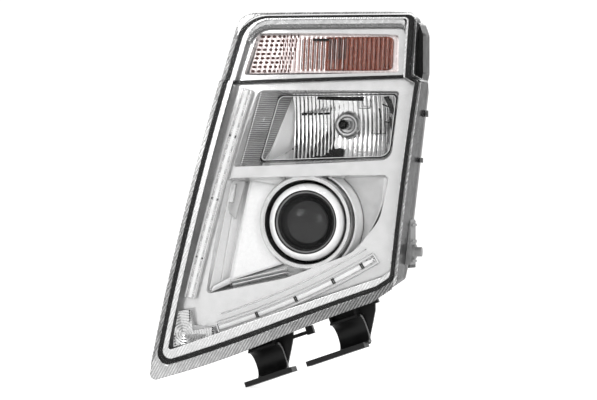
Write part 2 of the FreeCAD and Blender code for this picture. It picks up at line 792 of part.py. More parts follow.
def build_main_bezel():
    wall = S.bezel_wall
    shell = bezel_shell(
        "bezel_shell",
        S.bezel_depth,
        sloped(below("bezel_below", S.bezel_top)),
        sloped(below("bezel_core_below", S.bezel_top - wall)),
    )
    walls = common(
        "pocket_walls",
        fuse("pockets", pocket("beam_outer", BEAM_WINDOW, wall), pocket("well_outer", WELL, wall)),
        lens_ball("pocket_ball", S.bezel_depth),
    )
    floor_y = WELL[3]
    floor_outline = inset(WELL[2], [-wall.value] * len(WELL[2]))
    floor = prism("well_floor", floor_outline, WELL[4], floor_y, floor_y + wall)
    opened = cut(
        "bezel_open",
        fuse("bezel_solid", shell, walls, floor),
        pocket("beam_hole", BEAM_WINDOW),
        pocket("well_hole", WELL),
    )
    collar = rod("collar", S.collar_outer, S.low_x, S.low_z, S.collar_front, floor_y + 1)
    bore = rod("collar_bore", S.collar_bore, S.low_x, S.low_z, -60, 20)
    collared = fuse("bezel_collared", opened, collar, *guide_rails())
    keep(cut("bezel", collared, bore), "main_bezel")


def build_signal_bezel():
    wall = S.bezel_wall
    depth = S.step_depth + 13
    shell = bezel_shell(
        "signal_shell",
        depth,
        sloped(above("signal_above", S.signal_bottom)),
        sloped(above("signal_core_above", S.signal_bottom + wall)),
    )
    walls = common(
        "signal_walls", pocket("signal_outer", SIGNAL_WINDOW, wall), lens_ball("signal_wall_ball", depth)
    )
    solid = fuse("signal_solid", shell, walls)
    keep(cut("signal_open", solid, pocket("signal_hole", SIGNAL_WINDOW)), "signal_bezel")


def build_divider():
    """The black strip in the joint between the two bezels."""
    band = common(
        "divider_band",
        prism("divider_prism", inset(BEZEL, [0, 0, 0.5, 0.5, 0.5, 0, 0.5]), BEZEL_RADII, -80, -8),
        sloped(above("divider_above", S.bezel_top + 0.5)),
        sloped(below("divider_below", S.signal_bottom - 0.5)),
    )
    keep(layer("divider", band, S.lens_wall + S.step_depth + 3, 40), "divider_strip")


# ---------------------------------------------------------------- light guides and their LEDs

CORNER_OPTIC = [
    (-111.5, 18.4), (-88.6, 22.3), (-53.9, 34.5), (-57.8, 44), (-83.6, 47), (-86.5, 66),
    (-102.4, 63.4), (-109.3, 35.6),
]


def led(name, x, z):
    """A small LED standing on the front of a strip."""
    y = face_y(x, z, S.bezel_depth.value + 8)
    return box(name, (x - 1.5, y - 1, z - 1.5), (x + 1.5, y + 0.8, z + 1.5))


def build_guides():
    front, back = S.bezel_depth - 6, S.bezel_depth - 0.1
    side = prism("side_guide_prism", strip(SIDE_FOOT, SIDE_TOP, GUIDE_HALF * 2), 1.5, -90, 0)
    keep(layer("side_guide", side, front, back), "side_light_guide")
    lower = extruded("lower_guide_prism", arc_band(GUIDE_HALF, -0.02), -90, 0)
    keep(layer("lower_guide", lower, front, back), "lower_light_guide")
    corner = prism("corner_prism", CORNER_OPTIC, 1.5, -90, 0)
    keep(layer("corner", corner, S.bezel_depth - 8, back), "corner_position_optic")


def build_led_strips():
    front, back = S.bezel_depth + 8, S.bezel_depth + 9.6
    low, high = (-82, 101), (-20, 319)
    side = layer("side_board", prism("side_board_prism", strip(low, high, 8), 1, -90, 0), front, back)
    leds = [
        led(f"side_led_{i}", *(a + (b - a) * (i + 0.5) / 6 for a, b in zip(low, high))) for i in range(6)
    ]
    keep(fuse("side_strip", side, *leds), "side_led_strip")
    lower = layer("lower_board", extruded("lower_board_prism", arc_band(4, -0.6), -90, 0), front, back)
    leds = []
    for i in range(7):
        turn = math.radians(ARC_START + (ARC_END - ARC_START) * (i + 1) / 8)
        x = ARC_CENTRE[0] + ARC_RADIUS * math.cos(turn)
        z = ARC_CENTRE[1] + ARC_RADIUS * math.sin(turn)
        leds.append(led(f"lower_led_{i}", x, z))
    keep(fuse("lower_strip", lower, *leds), "lower_led_strip")
    corner = prism("corner_board_prism", strip((-96, 34), (-96, 58), 14), 1, -90, 0)
    corner = layer("corner_board", corner, front, back)
    leds = [led(f"corner_led_{z}", -96, z) for z in (40, 51)]
    keep(fuse("corner_strip", corner, *leds), "position_led_board")


# ---------------------------------------------------------------- turn signal


def build_signal():
    mouth_y = SIGNAL_WINDOW[3] + 1
    floor_y = 58
    outer = inset(SIGNAL_WINDOW[2], [-5, -3, -5, -3])
    inner = inset(outer, [1.8] * 4)
    draw_in = [4, 12, 4, 12]
    tray = cut(
        "signal_tray",
        frustum("tray_outer", outer, mouth_y, inset(outer, draw_in), floor_y, 5),
        frustum("tray_inner", inner, mouth_y - 0.1, inset(inner, draw_in), floor_y - 1.8, 3.2),
        rod("tray_hole", 13.2, S.signal_x, S.signal_z, 50, 70),
    )
    keep(tray, "signal_reflector")
    front = S.step_depth + 18
    amber = box("amber_block", (64, -60, 362.5), (164.5, 40, 405.5))
    keep(layer("amber", amber, front, front + 3), "signal_amber_optic")
    bulb = path((0, 66), (0, 27, (9, 31)), (12.4, 40, (11.3, 49)), (7.4, 56), (7.4, 66))
    keep(turned_curve("amber_bulb", bulb, S.signal_x, S.signal_z), "signal_bulb")
    seat = S.rear_wall + 6
    plug = turned(
        "holder_plug",
        [(0, 66.2), (12.5, 66.2), (12.5, 84), (16.5, 88), (16.5, seat + 2.4), (21, seat + 2.4),
         (21, seat + 5), (0, seat + 5)],
        S.signal_x, S.signal_z,
    )
    frame = about_y(S.signal_x, S.signal_z, -45)
    ears = within(frame, box("holder_ears", (-19, 91, -3), (19, 95, 3)))
    grip = within(frame, box("holder_grip", (-17, seat + 4, -2.5), (17, seat + 17, 2.5)))
    keep(fuse("holder", plug, ears, grip), "signal_bulb_holder")
    seal = turned(
        "holder_seal", [(17.2, seat + 0.2), (20.5, seat + 0.2), (20.5, seat + 2.3), (17.2, seat + 2.3)],
        S.signal_x, S.signal_z,
    )
    keep(seal, "signal_holder_seal")


# ---------------------------------------------------------------- high beam

BOWL_DEPTH, BOWL_SPREAD = 78, 185
CLIP_PIVOT = (85.2, 322)


def bowl(name, y_centre):
    """Everything in front of a dish that opens to the front."""

    def at(r):
        return (r, y_centre - r * r / BOWL_SPREAD)

    return turned_curve(name, path((0, -60), (*at(0), at(62)), at(124), (124, -60)), S.high_x, S.high_z)


def build_high_beam():
    low, high, mouth = (-16, 244.2), (172, 341), 13
    wall = 2.0
    outer = common(
        "bowl_block",
        box("bowl_box", (low[0], mouth, low[1]), (high[0], 90, high[1])),
        bowl("bowl_back", BOWL_DEPTH + 2.5),
    )
    inner = common(
        "bowl_hollow",
        box("bowl_core", (low[0] + wall, mouth - 1, low[1] + wall), (high[0] - wall, 90, high[1] - wall)),
        bowl("bowl_front", BOWL_DEPTH),
    )
    clip_y, clip_z = CLIP_PIVOT
    lugs_made = [
        box(f"clip_lug_{side}", (S.high_x + side * 23 - 3, 73.6, clip_z - 3.5),
            (S.high_x + side * 23 + 3, clip_y + 3.5, clip_z + 3.5))
        for side in (-1, 1)
    ]
    catch = box("clip_catch", (S.high_x - 4, 72, 263), (S.high_x + 4, 83, 269))
    pin_hole = post("clip_hole", 0.9 + S.run_fit, (20, clip_y, clip_z), (1, 0, 0), 130)
    hole = rod("high_hole", 13, S.high_x, S.high_z, 60, 100)
    shell = cut("bowl_shell", outer, inner)
    dish = cut("dish", fuse("dish_solid", shell, *lugs_made, catch), pin_hole, hole)
    keep(dish, "high_beam_reflector")

    glass = path((0, 78.8), (0, 43.2, (4.4, 45)), (6, 49), (6, 78.8))
    keep(turned_curve("high_glass", glass, S.high_x, S.high_z), "high_beam_bulb")
    base = [(0, 79), (6.4, 79), (6.4, 73), (12.6, 73), (12.6, 80.8), (18.5, 80.8), (18.5, 84),
            (13, 84), (13, 100), (0, 100)]
    keep(turned("high_base", base, S.high_x, S.high_z), "high_beam_bulb_base")

    wires = [post("clip_bar", 0.9, (S.high_x - 27, clip_y, clip_z), (1, 0, 0), 54)]
    for side in (-1, 1):
        x = S.high_x + side * 16
        wires.append(post(f"clip_leg_{side}", 0.9, (x, clip_y, 274), (0, 0, 1), clip_z - 274))
    wires.append(post("clip_foot", 0.9, (S.high_x - 16.9, clip_y, 274.9), (1, 0, 0), 33.8))
    keep(fuse("clip_wire", *wires), "high_beam_clip")


# ---------------------------------------------------------------- low beam projector

PLATE_FRONT = S.aim_y - S.carrier_wall * 0.5
PLATE_BACK = S.aim_y + S.carrier_wall * 0.5
PROJECTOR_SCREW = 52 * math.cos(math.radians(45))


def projector_screw_places():
    reach = PROJECTOR_SCREW
    return [(S.low_x + i * reach, S.low_z + j * reach) for i in (-1, 1) for j in (-1, 1)]


def build_projector():
    x, z = S.low_x, S.low_z
    rim = S.glass_radius
    glass = path((0, -14), (0, -38, (20, -32.7)), (rim, -18), (rim, -14))
    keep(turned_curve("projector_glass", glass, x, z), "projector_lens")

    barrel = S.barrel_radius
    holder = turned(
        "holder_barrel",
        [(rim + 0.1, -19.5), (barrel, -19.5), (barrel, -6), (barrel + 4, 2), (barrel + 4, 33.5),
         (56, 33.5), (56, PLATE_FRONT), (barrel + 1.5, PLATE_FRONT), (barrel + 1.5, 3), (37, -6),
         (33, -10), (33, -13.9), (rim + 0.1, -13.9)],
        x, z,
    )
    holes = [
        rod(f"holder_hole_{i}", 2.2, px, pz, 25, 50) for i, (px, pz) in enumerate(projector_screw_places())
    ]
    keep(cut("lens_holder", holder, *holes), "projector_lens_holder")

    ring = S.ring_outer
    profile = [(barrel + 0.3, -16), (barrel + 2, -18), (ring, -11), (ring, 18), (ring - 2, 18),
               (ring - 2, -10), (barrel + 2, -14.5), (barrel + 0.3, -13)]
    keep(turned("chrome_ring", profile, x, z), "projector_ring")

    disc = rod("shield_disc", barrel + 1.2, x, z, 34.5, 36)
    keep(common("shield", disc, below("shield_half", z + 1)), "projector_shield")

    back = PLATE_FRONT.value + 0.2
    bowl_outline = path(
        (40, back, (33, 72)), (14.5, 97), (16.5, 97), (17, 98.5, (35, 74)), (42.5, 42), (46, 42), (46, back)
    )
    keep(turned_curve("low_bowl", bowl_outline, x, z), "projector_reflector")
    glass = path((0, 96), (0, 56, (4.6, 57.8)), (6, 62), (6, 96))
    keep(turned_curve("low_glass", glass, x, z), "projector_bulb")
    base = [(0, 96.2), (14.2, 96.2), (14.2, 98.8), (18.5, 98.8), (18.5, 102), (13, 102), (13, 116),
            (0, 116)]
    keep(turned("low_base", base, x, z), "projector_bulb_base")

    screws = [
        turned(
            f"projector_screw_{i}",
            [(0, 30.4), (2.4, 30.4), (3.6, 31.4), (3.6, 33.3), (2.0, 33.3), (2.0, 45), (0, 45)],
            px, pz,
        )
        for i, (px, pz) in enumerate(projector_screw_places())
    ]
    keep(group("projector_screw_group", screws), "projector_screws")


# ---------------------------------------------------------------- carrier and aiming gear

PLATE = [(-15, 112), (112, 112), (164, 134), (164, 244), (-15, 244)]
CUP_RADIUS = 10.0
SLOT_HALF = 6.5


def rod_places():
    """The levelling rod's place, then the horizontal aiming rod's."""
    return [(S.pivot_x, S.level_z), (S.side_aim_x, S.pivot_z)]


def build_carrier():
    x, y, z = S.pivot_x, S.aim_y, S.pivot_z
    shelf_top = 244
    solid = [
        prism("carrier_plate", PLATE, 8, PLATE_FRONT, PLATE_BACK),
        box("carrier_shelf", (-5, 16, shelf_top - 5), (162, 62, shelf_top)),
        post("pivot_clip", CUP_RADIUS + 3.5, (x - 8, y, z), (1, 0, 0), 16),
    ]
    solid += [box(f"carrier_rib_{at}", (at, y, 214), (at + 3, 58, shelf_top - 1)) for at in (18, 98)]
    solid.append(cut(
        "carrier_hoop",
        rod("hoop_outer", 62, S.low_x, S.low_z, PLATE_BACK - 1, PLATE_BACK + 6),
        rod("hoop_inner", 59, S.low_x, S.low_z, 30, 60),
        below("hoop_below", 118),
        box("hoop_side", (100, 0, 0), (200, 100, 400)),
    ))
    tools = [
        rod("carrier_hole", 47, S.low_x, S.low_z, 20, 60),
        post("cup_bore", CUP_RADIUS + S.run_fit, (x - 12, y, z), (1, 0, 0), 24),
        box("cup_slot", (x - 12, y, z - SLOT_HALF), (x + 12, y + 20, z + SLOT_HALF)),
    ]
    tools += [rod(f"clip_seat_{i}", 8, px, pz, 20, 60) for i, (px, pz) in enumerate(rod_places())]
    tools += [
        rod(f"carrier_thread_{i}", 2.1, px, pz, 20, 60)
        for i, (px, pz) in enumerate(projector_screw_places())
    ]
    keep(cut("carrier", fuse("carrier_solid", *solid), *tools), "beam_carrier")


def build_rod_clips():
    made = []
    for i, (x, z) in enumerate(rod_places()):
        body = fuse(
            f"rod_clip_body_{i}",
            rod(f"rod_clip_plug_{i}", 7.95, x, z, 32, PLATE_BACK + 0.5),
            rod(f"rod_clip_flange_{i}", 10, x, z, PLATE_BACK + 0.1, PLATE_BACK + 2.5),
        )
        cavity = ball(f"rod_clip_cavity_{i}", S.ball_radius + S.play, x, S.aim_y, z)
        mouth = rod(f"rod_clip_mouth_{i}", S.ball_radius - 0.4, x, z, S.aim_y, 60)
        made.append(cut(f"rod_clip_{i}", body, cavity, mouth))
    keep(group("rod_clip_group", made), "rod_clips")


def build_pivot():
    x, y, z = S.pivot_x, S.aim_y, S.pivot_z
    inside = S.rear_wall - S.wall
    stud = fuse(
        "stud",
        ball("stud_ball", S.stud_ball, x, y, z),
        rod("stud_stem", 3.5, x, z, y + 4, inside - 2),
        rod("stud_flange", 9, x, z, inside - 3.1, inside - 0.1),
        rod("stud_thread", 4, x, z, inside - 1, S.rear_wall + 9),
    )
    keep(stud, "pivot_stud")
    hexagon = [(x.value + 8 * math.cos(math.radians(60 * i)), z.value + 8 * math.sin(math.radians(60 * i)))
               for i in range(6)]
    nut = cut(
        "nut",
        prism("nut_body", hexagon, 0.6, S.rear_wall + 0.2, S.rear_wall + 6.5),
        rod("nut_thread", 4.05, x, z, 90, 120),
    )
    keep(nut, "pivot_nut")
    cup = cut(
        "cup",
        post("cup_body", CUP_RADIUS, (x - 10, y, z), (1, 0, 0), 20),
        ball("cup_cavity", S.stud_ball + S.play, x, y, z),
        rod("cup_mouth", 5.8, x, z, y, y + 20),
    )
    keep(cup, "pivot_socket")


def aiming_rod(label, x, z, end):
    stem = S.rod_radius
    keep(
        fuse(
            label + "_solid",
            ball(label + "_ball", S.ball_radius, x, S.aim_y, z),
            rod(label + "_stem", stem, x, z, S.aim_y + 3, end),
        ),
        label,
    )


def knob(label, x, z, shaft_from, head_from, head_to, radius, inner, outer):
    """A fluted hand wheel on a hollow shaft that the rod's thread runs in."""
    body = turned(
        label + "_turned",
        [(0, head_to), (radius - 1, head_to), (radius, head_to - 1), (radius, head_from),
         (outer, head_from), (outer, shaft_from), (inner, shaft_from), (inner, head_to - 2),
         (0, head_to - 2)],
        x, z,
    )
    flutes = []
    for i in range(8):
        groove = post(f"{label}_flute_{i}", 1.6, (0, head_from - 1, radius + 0.6), (0, 1, 0), 30)
        flutes.append(within(about_y(x, z, 45 * i), groove))
    keep(cut(label + "_body", body, *flutes), label)


def build_adjusters():
    level_x, level_z = rod_places()[0]
    side_x, side_z = rod_places()[1]
    aiming_rod("levelling_rod", level_x, level_z, 124)
    aiming_rod("horizontal_aim_rod", side_x, side_z, 122)

    front = S.rear_wall + 4.2
    case = box("motor_case", (level_x - 30, front, level_z - 30), (level_x + 10, 140, level_z + 30))
    nose = rod("motor_nose", 7.6, level_x, level_z, 97, front + 1)
    plug = box("motor_plug", (level_x - 18, 118, level_z + 29), (level_x + 2, 134, level_z + 39))
    plug_mouth = box("motor_plug_mouth", (level_x - 16, 120, level_z + 31), (level_x, 132, level_z + 50))
    tools = [
        rod("motor_bore", S.rod_radius + S.run_fit, level_x, level_z, 90, 118),
        rod("motor_chamber", 6.5, level_x, level_z, 116, 131),
        rod("motor_knob_bore", 5.5 + S.run_fit, level_x, level_z, 130, 150),
        plug_mouth,
    ]
    keep(cut("motor", fuse("motor_solid", case, nose, plug), *tools), "levelling_motor")
    knob("vertical_aim_knob", level_x, level_z, 131.2, 140.4, 149, 10, 3.6, 5.5)

    front = S.rear_wall + 8.2
    body = turned(
        "adjuster_turned",
        [(S.rod_radius + S.run_fit, 99), (4.8, 99), (4.8, front), (11, front), (11, 126),
         (5.5 + S.run_fit, 126), (5.5 + S.run_fit, 114), (S.rod_radius + S.run_fit, 114)],
        side_x, side_z,
    )
    keep(body, "horizontal_adjuster_body")
    knob("horizontal_aim_knob", side_x, side_z, 114.2, 126.4, 137, 12, 3.6, 5.5)


# ---------------------------------------------------------------- service caps


def build_cap(label, neck, x, z, lug_front, neck_back):
    """A bayonet cap: a cup over the neck with three tabs that hook in front of the lugs."""
    inner = neck + S.lug_height + 0.6
    outer = inner + 2.8
    back = neck_back + 3
    cup = turned(
        label + "_turned",
        [(inner, lug_front - 5), (outer, lug_front - 5), (outer, back + 1), (outer - 2, back + 3),
         (0, back + 3), (0, back), (inner, back)],
        x, z,
    )
    pieces = [cup]
    for i in range(3):
        frame = about_y(x, z, 120 * i)
        low, high = (-9, lug_front - 4.6, neck + 0.8), (9, lug_front - 0.4, inner + 1)
        pieces.append(within(frame, box(f"{label}_tab_{i}", low, high)))
    for i in range(12):
        frame = about_y(x, z, 30 * i + 15)
        low, high = (-2, lug_front - 5, outer - 1), (2, back + 1.5, outer + 1.4)
        pieces.append(within(frame, box(f"{label}_rib_{i}", low, high)))
    low, high = (-2.5, back + 2, -outer + 6), (2.5, back + 10, outer - 6)
    pieces.append(within(about_y(x, z, 90), box(label + "_grip", low, high)))
    keep(fuse(label + "_solid", *pieces), label)
    seal = [(neck - 2.6, neck_back + 0.2), (neck + 1, neck_back + 0.2), (neck + 1, back - 0.1),
            (neck - 2.6, back - 0.1)]
    keep(turned(label + "_ring", seal, x, z), label + "_seal")


# ---------------------------------------------------------------- electrics on the rear


def build_connector():
    seat = S.rear_wall + 0.2
    (x0, z0), (x1, z1) = CONNECTOR_LOW, CONNECTOR_HIGH
    pins = [
        box(f"pin_{i}_{j}", (x0 + 5 + 6.1 * i, 90, z0 + 8 + 7 * j), (x0 + 6 + 6.1 * i, 117, z0 + 9 + 7 * j))
        for i in range(4) for j in range(2)
    ]
    body = fuse(
        "socket_solid",
        box("socket_body", (x0, 93, z0), (x1, 122, z1)),
        box("socket_flange", (x0 - 4, seat, z0 - 4), (x1 + 4, seat + 2.5, z1 + 4)),
        box("socket_latch", (x0 + 11, 112, z1 - 1), (x1 - 11, 120, z1 + 3)),
    )
    cavity = box("socket_cavity", (x0 + 2, 104, z0 + 2), (x1 - 2, 130, z1 - 2))
    keep(cut("socket", body, cavity, *pins), "connector_socket")
    keep(group("pin_group", pins), "connector_pins")


def build_driver():
    seat = S.rear_wall + 0.2
    case = fuse(
        "driver_solid",
        box("driver_case", (-60, seat, 72), (-14, 116, 122)),
        box("driver_ears", (-72, seat, 90), (-2, seat + 3, 104)),
        *[box(f"driver_fin_{i}", (-56 + 6 * i, 115, 75), (-54 + 6 * i, 119, 119)) for i in range(7)],
    )
    holes = [rod(f"driver_hole_{i}", 2.3, x, z, 90, 120) for i, (x, z) in enumerate(DRIVER_SCREWS)]
    keep(cut("driver", case, *holes), "led_driver")
    screws = [rear_screw(f"driver_screw_{i}", x, z, seat + 3.2) for i, (x, z) in enumerate(DRIVER_SCREWS)]
    keep(group("driver_screw_group", screws), "driver_screws")


def build_vents():
    profile = [(0, 95), (3.9, 95), (3.9, 100.3), (7.5, 100.3), (7.5, 109), (6, 110.5), (0, 110.5)]
    made = [turned(f"vent_{i}", profile, x, z) for i, (x, z) in enumerate(VENTS)]
    keep(group("vent_group", made), "vent_caps")


# ---------------------------------------------------------------- the whole lamp

build_lens()
build_seal()
build_housing()
build_main_bezel()
build_signal_bezel()
build_divider()
build_guides()
build_led_strips()
build_signal()
build_high_beam()
build_projector()
build_carrier()
build_rod_clips()
build_pivot()
build_adjusters()
build_cap("low_beam_cap", S.low_neck, S.low_x, S.low_z, 150, S.low_neck_back)
build_cap("high_beam_cap", S.high_neck, S.high_x, S.high_z, 124, S.high_neck_back)
build_connector()
build_driver()
build_vents()
FOOT_ARMS = (
    [((30, 21, 17), (66, 25, 21.5)), ((57, 17, 15.5), (66, 25, 26))],
    [((-36, 8, 27), (-17, 20, 30)), ((36, 17, 26), (45, 25, 34))],
)
for foot_label, foot_frame, (foot_from, foot_to), foot_arms in zip(
    ("left_foot", "right_foot"), foot_frames(), ((-32, 32), (-60, 18)), FOOT_ARMS
):
    build_foot(foot_label, foot_frame, foot_from, foot_to, foot_arms)
build_foot_screws()
build_upper_bracket()
build_side_fittings()

doc.recompute()
for obj in doc.Objects:
    if "Invalid" in obj.State or "Error" in obj.State:
        raise RuntimeError(f"{obj.Name} failed: {obj.State}")

os.makedirs("parts", exist_ok=True)
for part in parts:
    if part.Shape.isNull() or not part.Shape.isValid() or not part.Shape.Solids:
        raise RuntimeError(f"{part.Label} has no valid solid")
    part.Shape.exportStep(f"parts/{part.Label}.step")
    size = part.Shape.BoundBox
    print(f"{part.Label:26} {len(part.Shape.Solids):2} solid(s)  {part.Shape.Volume / 1000:8.1f} cm3  "
          f"x {size.XMin:.0f}..{size.XMax:.0f}  y {size.YMin:.0f}..{size.YMax:.0f}  "
          f"z {size.ZMin:.0f}..{size.ZMax:.0f}")
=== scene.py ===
"""Looks of the headlamp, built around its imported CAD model. Shapes are given in millimetres."""

import json
import math

import bpy
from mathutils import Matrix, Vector


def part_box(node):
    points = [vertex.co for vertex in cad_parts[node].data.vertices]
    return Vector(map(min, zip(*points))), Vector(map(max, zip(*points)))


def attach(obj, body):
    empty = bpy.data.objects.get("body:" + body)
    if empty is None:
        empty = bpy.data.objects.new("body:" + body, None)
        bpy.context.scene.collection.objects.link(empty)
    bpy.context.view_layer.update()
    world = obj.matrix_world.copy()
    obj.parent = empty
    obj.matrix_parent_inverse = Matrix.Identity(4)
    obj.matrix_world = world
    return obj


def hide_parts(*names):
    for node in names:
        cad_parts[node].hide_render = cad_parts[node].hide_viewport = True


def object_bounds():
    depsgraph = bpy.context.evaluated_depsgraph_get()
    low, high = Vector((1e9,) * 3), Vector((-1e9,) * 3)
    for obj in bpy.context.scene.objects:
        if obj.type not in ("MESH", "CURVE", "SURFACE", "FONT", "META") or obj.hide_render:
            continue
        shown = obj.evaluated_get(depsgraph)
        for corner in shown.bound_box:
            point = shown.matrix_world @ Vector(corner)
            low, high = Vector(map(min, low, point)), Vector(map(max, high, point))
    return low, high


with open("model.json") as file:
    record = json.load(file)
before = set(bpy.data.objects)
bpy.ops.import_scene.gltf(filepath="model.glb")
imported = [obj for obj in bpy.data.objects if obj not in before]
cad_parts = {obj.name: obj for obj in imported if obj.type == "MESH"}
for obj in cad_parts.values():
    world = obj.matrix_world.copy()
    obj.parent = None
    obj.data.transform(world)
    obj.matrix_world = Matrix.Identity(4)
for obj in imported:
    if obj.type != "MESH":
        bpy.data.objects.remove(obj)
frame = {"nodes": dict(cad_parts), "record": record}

cad_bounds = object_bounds()
MM = 0.001
scene = bpy.context.scene

# ---- places from the frame


def box_mm(node):
    low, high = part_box(node)
    return low / MM, high / MM


def axis_of(node):
    low, high = box_mm(node)
    return (low.x + high.x) / 2, (low.z + high.z) / 2


LOW_X, LOW_Z = axis_of("projector_lens")
HIGH_X, HIGH_Z = axis_of("high_beam_bulb")
AMBER_LOW, AMBER_HIGH = box_mm("signal_amber_optic")
HOUSING, CARRIER = "housing_body", "carrier_body"
COLLAR_RADIUS = 58.6
FOOT_PITCH, FOOT_END = 112.0, 20.4
LENS_RADIUS = 1100.0
LENS_CENTRE = (-20.0, box_mm("outer_lens")[0].y + LENS_RADIUS, 190.0)
STEP_LEVEL, STEP_DEPTH = 351.0, 6.0
# Sides: bottom, lower outboard, outboard, shelf, outboard beside the signal, top, inboard.
LENS_OUTLINE = [(-145, -20), (145, 78.3), (175, 98.3), (205, 351.5), (193.3, 357.5), (195, 435),
                (-26.5, 435)]
LENS_RADII = [7, 30, 8, 5, 4, 10, 19]
# The seal's edges, as insets from each side, and the radii of its outer corners.
SEAL_OUTER = [12.5, 8.5, 4.3, 4.3, 5, 3.4, 5.6]
SEAL_INNER = [17, 13, 7.9, 7.9, 10, 5.8, 11.2]
SEAL_RADII = [13, 18, 6, 4, 3, 9, 38]
SEAL_WIDTH, SEAL_FRONT, SEAL_HEIGHT = 3.5, 3.0, 6.0
# The share of the lower sides' bow that the seal's two edges follow.
OUTER_BOW, INNER_BOW = 0.72, 0.6


def face_y(x, z, depth=0.0):
    """Y of the lens's front, or of a surface that lies behind it by a depth."""
    radius = LENS_RADIUS - depth
    cx, cy, cz = LENS_CENTRE
    return cy - math.sqrt(radius * radius - (x - cx) ** 2 - (z - cz) ** 2)


def lens_y(x, z, depth):
    """As face_y, with the upper part of the lens set back."""
    return face_y(x, z, depth + (STEP_DEPTH if z > STEP_LEVEL else 0.0))


# ---- materials


def new_node(tree, kind, values=None, **settings):
    """A shader node with its settings; another node's output is linked, other values are set."""
    node = tree.nodes.new("ShaderNode" + kind)
    for key, value in settings.items():
        setattr(node, key, value)
    for key, value in (values or {}).items():
        if isinstance(value, bpy.types.NodeSocket):
            tree.links.new(value, node.inputs[key])
        else:
            node.inputs[key].default_value = value
    return node


def new_material(name):
    material = bpy.data.materials.new(name)
    material.use_nodes = True
    material.node_tree.nodes.clear()
    return material, material.node_tree


def rgba(colour):
    return (*colour, 1.0)


def grain_of(tree, size_mm, detail=4.0):
    """Noise of a given size in the object's own coordinates."""
    place = new_node(tree, "TexCoord").outputs["Object"]
    values = {"Vector": place, "Scale": 1.0 / (size_mm * MM), "Detail": detail}
    return new_node(tree, "TexNoise", values).outputs["Fac"]


def spread(tree, source, low, high, start=0.3, end=0.7):
    """Maps noise onto a range of values."""
    values = {"Value": source, "From Min": start, "From Max": end, "To Min": low, "To Max": high}
    return new_node(tree, "MapRange", values).outputs["Result"]


def ramp_of(tree, source, *stops):
    """Maps a value onto a run of colours; a stop is a place and its colour."""
    ramp = new_node(tree, "ValToRGB", {"Fac": source})
    elements = ramp.color_ramp.elements
    for place, _ in stops[2:]:
        elements.new(place)
    for k, (place, colour) in enumerate(stops):
        elements[k].position = place
        elements[k].color = rgba(colour)
    return ramp.outputs["Color"]


def bumped(tree, source, depth_mm):
    values = {"Strength": 0.5, "Distance": depth_mm * MM, "Height": source}
    return new_node(tree, "Bump", values).outputs["Normal"]


def stripes_of(tree, direction, pitch_mm):
    """Soft stripes in the object's own coordinates, across a direction; 0 to 1."""
    size = math.hypot(*direction)
    across = [math.tau * d / (size * pitch_mm * MM) for d in direction]
    place = new_node(tree, "TexCoord").outputs["Object"]
    phase = new_node(tree, "VectorMath", {0: place, 1: across}, operation="DOT_PRODUCT")
    wave = new_node(tree, "Math", {0: phase.outputs["Value"]}, operation="SINE")
    return spread(tree, wave.outputs[0], 0.0, 1.0, -0.8, 0.8)


def finish(name, dark, light, rough, metallic=0.0, size=0.6, depth=0.04, coat=0.0, clouds=12.0,
           alpha=1.0, stripes=None):
    """A solid finish: cloudy colour, uneven gloss and a fine surface grain of a given size in mm.

    stripes gives a direction, a pitch in mm and the colour of the lines across it.
    """
    material, tree = new_material(name)
    broad = grain_of(tree, clouds, 3.0)
    colour = ramp_of(tree, broad, (0.3, dark), (0.7, light))
    if stripes:
        direction, pitch_mm, line = stripes
        lines = stripes_of(tree, direction, pitch_mm)
        lined = new_node(tree, "MixRGB", {"Fac": lines, "Color1": colour, "Color2": rgba(line)})
        colour = lined.outputs["Color"]
    shader = new_node(tree, "BsdfPrincipled", {
        "Base Color": colour, "Roughness": spread(tree, broad, *rough), "Metallic": metallic,
        "Normal": bumped(tree, grain_of(tree, size), depth), "Alpha": alpha, "Coat Weight": coat,
        "Coat Roughness": 0.06, "Specular IOR Level": 0.2 if max(light) < 0.05 else 0.5})
    new_node(tree, "OutputMaterial", {"Surface": shader.outputs["BSDF"]})
    return material


def clear(name, tone, gloss, edge, size=8.0, depth=0.02, body=0.0, body_tone=0.0):
    """Clear plastic or glass: see-through with a gloss that grows towards grazing angles.

    The tones are levels of grey, and body is the share of a milky solid that is mixed in.
    """
    material, tree = new_material(name)
    waves = grain_of(tree, size)
    see = new_node(tree, "BsdfTransparent", {"Color": rgba(grey(tone))})
    shine = new_node(tree, "BsdfGlossy", {
        "Color": rgba((0.95, 0.95, 0.96)), "Roughness": spread(tree, waves, 0.02, 0.06),
        "Normal": bumped(tree, waves, depth)})
    facing = new_node(tree, "LayerWeight", {"Blend": 0.5}).outputs["Facing"]
    power = new_node(tree, "Math", {0: facing, 1: 4.0}, operation="POWER").outputs[0]
    share = spread(tree, power, gloss, edge, 0.0, 1.0)
    result = new_node(tree, "MixShader", {"Fac": share, 1: see.outputs[0], 2: shine.outputs[0]})
    if body:
        milk = ramp_of(tree, waves, (0.3, grey(0.9 * body_tone)), (0.7, grey(body_tone)))
        milky = new_node(tree, "BsdfPrincipled", {"Base Color": milk, "Roughness": 0.25})
        result = new_node(tree, "MixShader", {"Fac": body, 1: result.outputs[0], 2: milky.outputs[0]})
    new_node(tree, "OutputMaterial", {"Surface": result.outputs[0]})
    return material


def grey(value, warm=0.0):
    return (value * (1 + warm), value, value * (1 - warm))


LOOKS, SLOTS = {}, {}
# Painted shade: grey lines across the flutes stand in for the light and shade on their ribs; a direction
# and a pitch in mm.
FLUTE_SHADE_LINES = ((0.84, 0, -0.54), 3.1)
# Painted shade: ever darker copies of the flute look along the lower sides, for the dark housing seen
# through the clear flutes towards the outboard end.
PAINTED_FLUTE_SHADES = [f"flute_shade_{k}" for k in range(1, 9)]


def solid(name, dark, light, rough, metallic=0.0, slot=None, **options):
    """Adds a finish between two colours or greys; slot is the record's slot of a piece's look."""
    tones = [grey(tone) if isinstance(tone, float) else tone for tone in (dark, light)]
    LOOKS[name] = finish(name, *tones, rough, metallic, **options)
    if slot:
        SLOTS[name] = slot


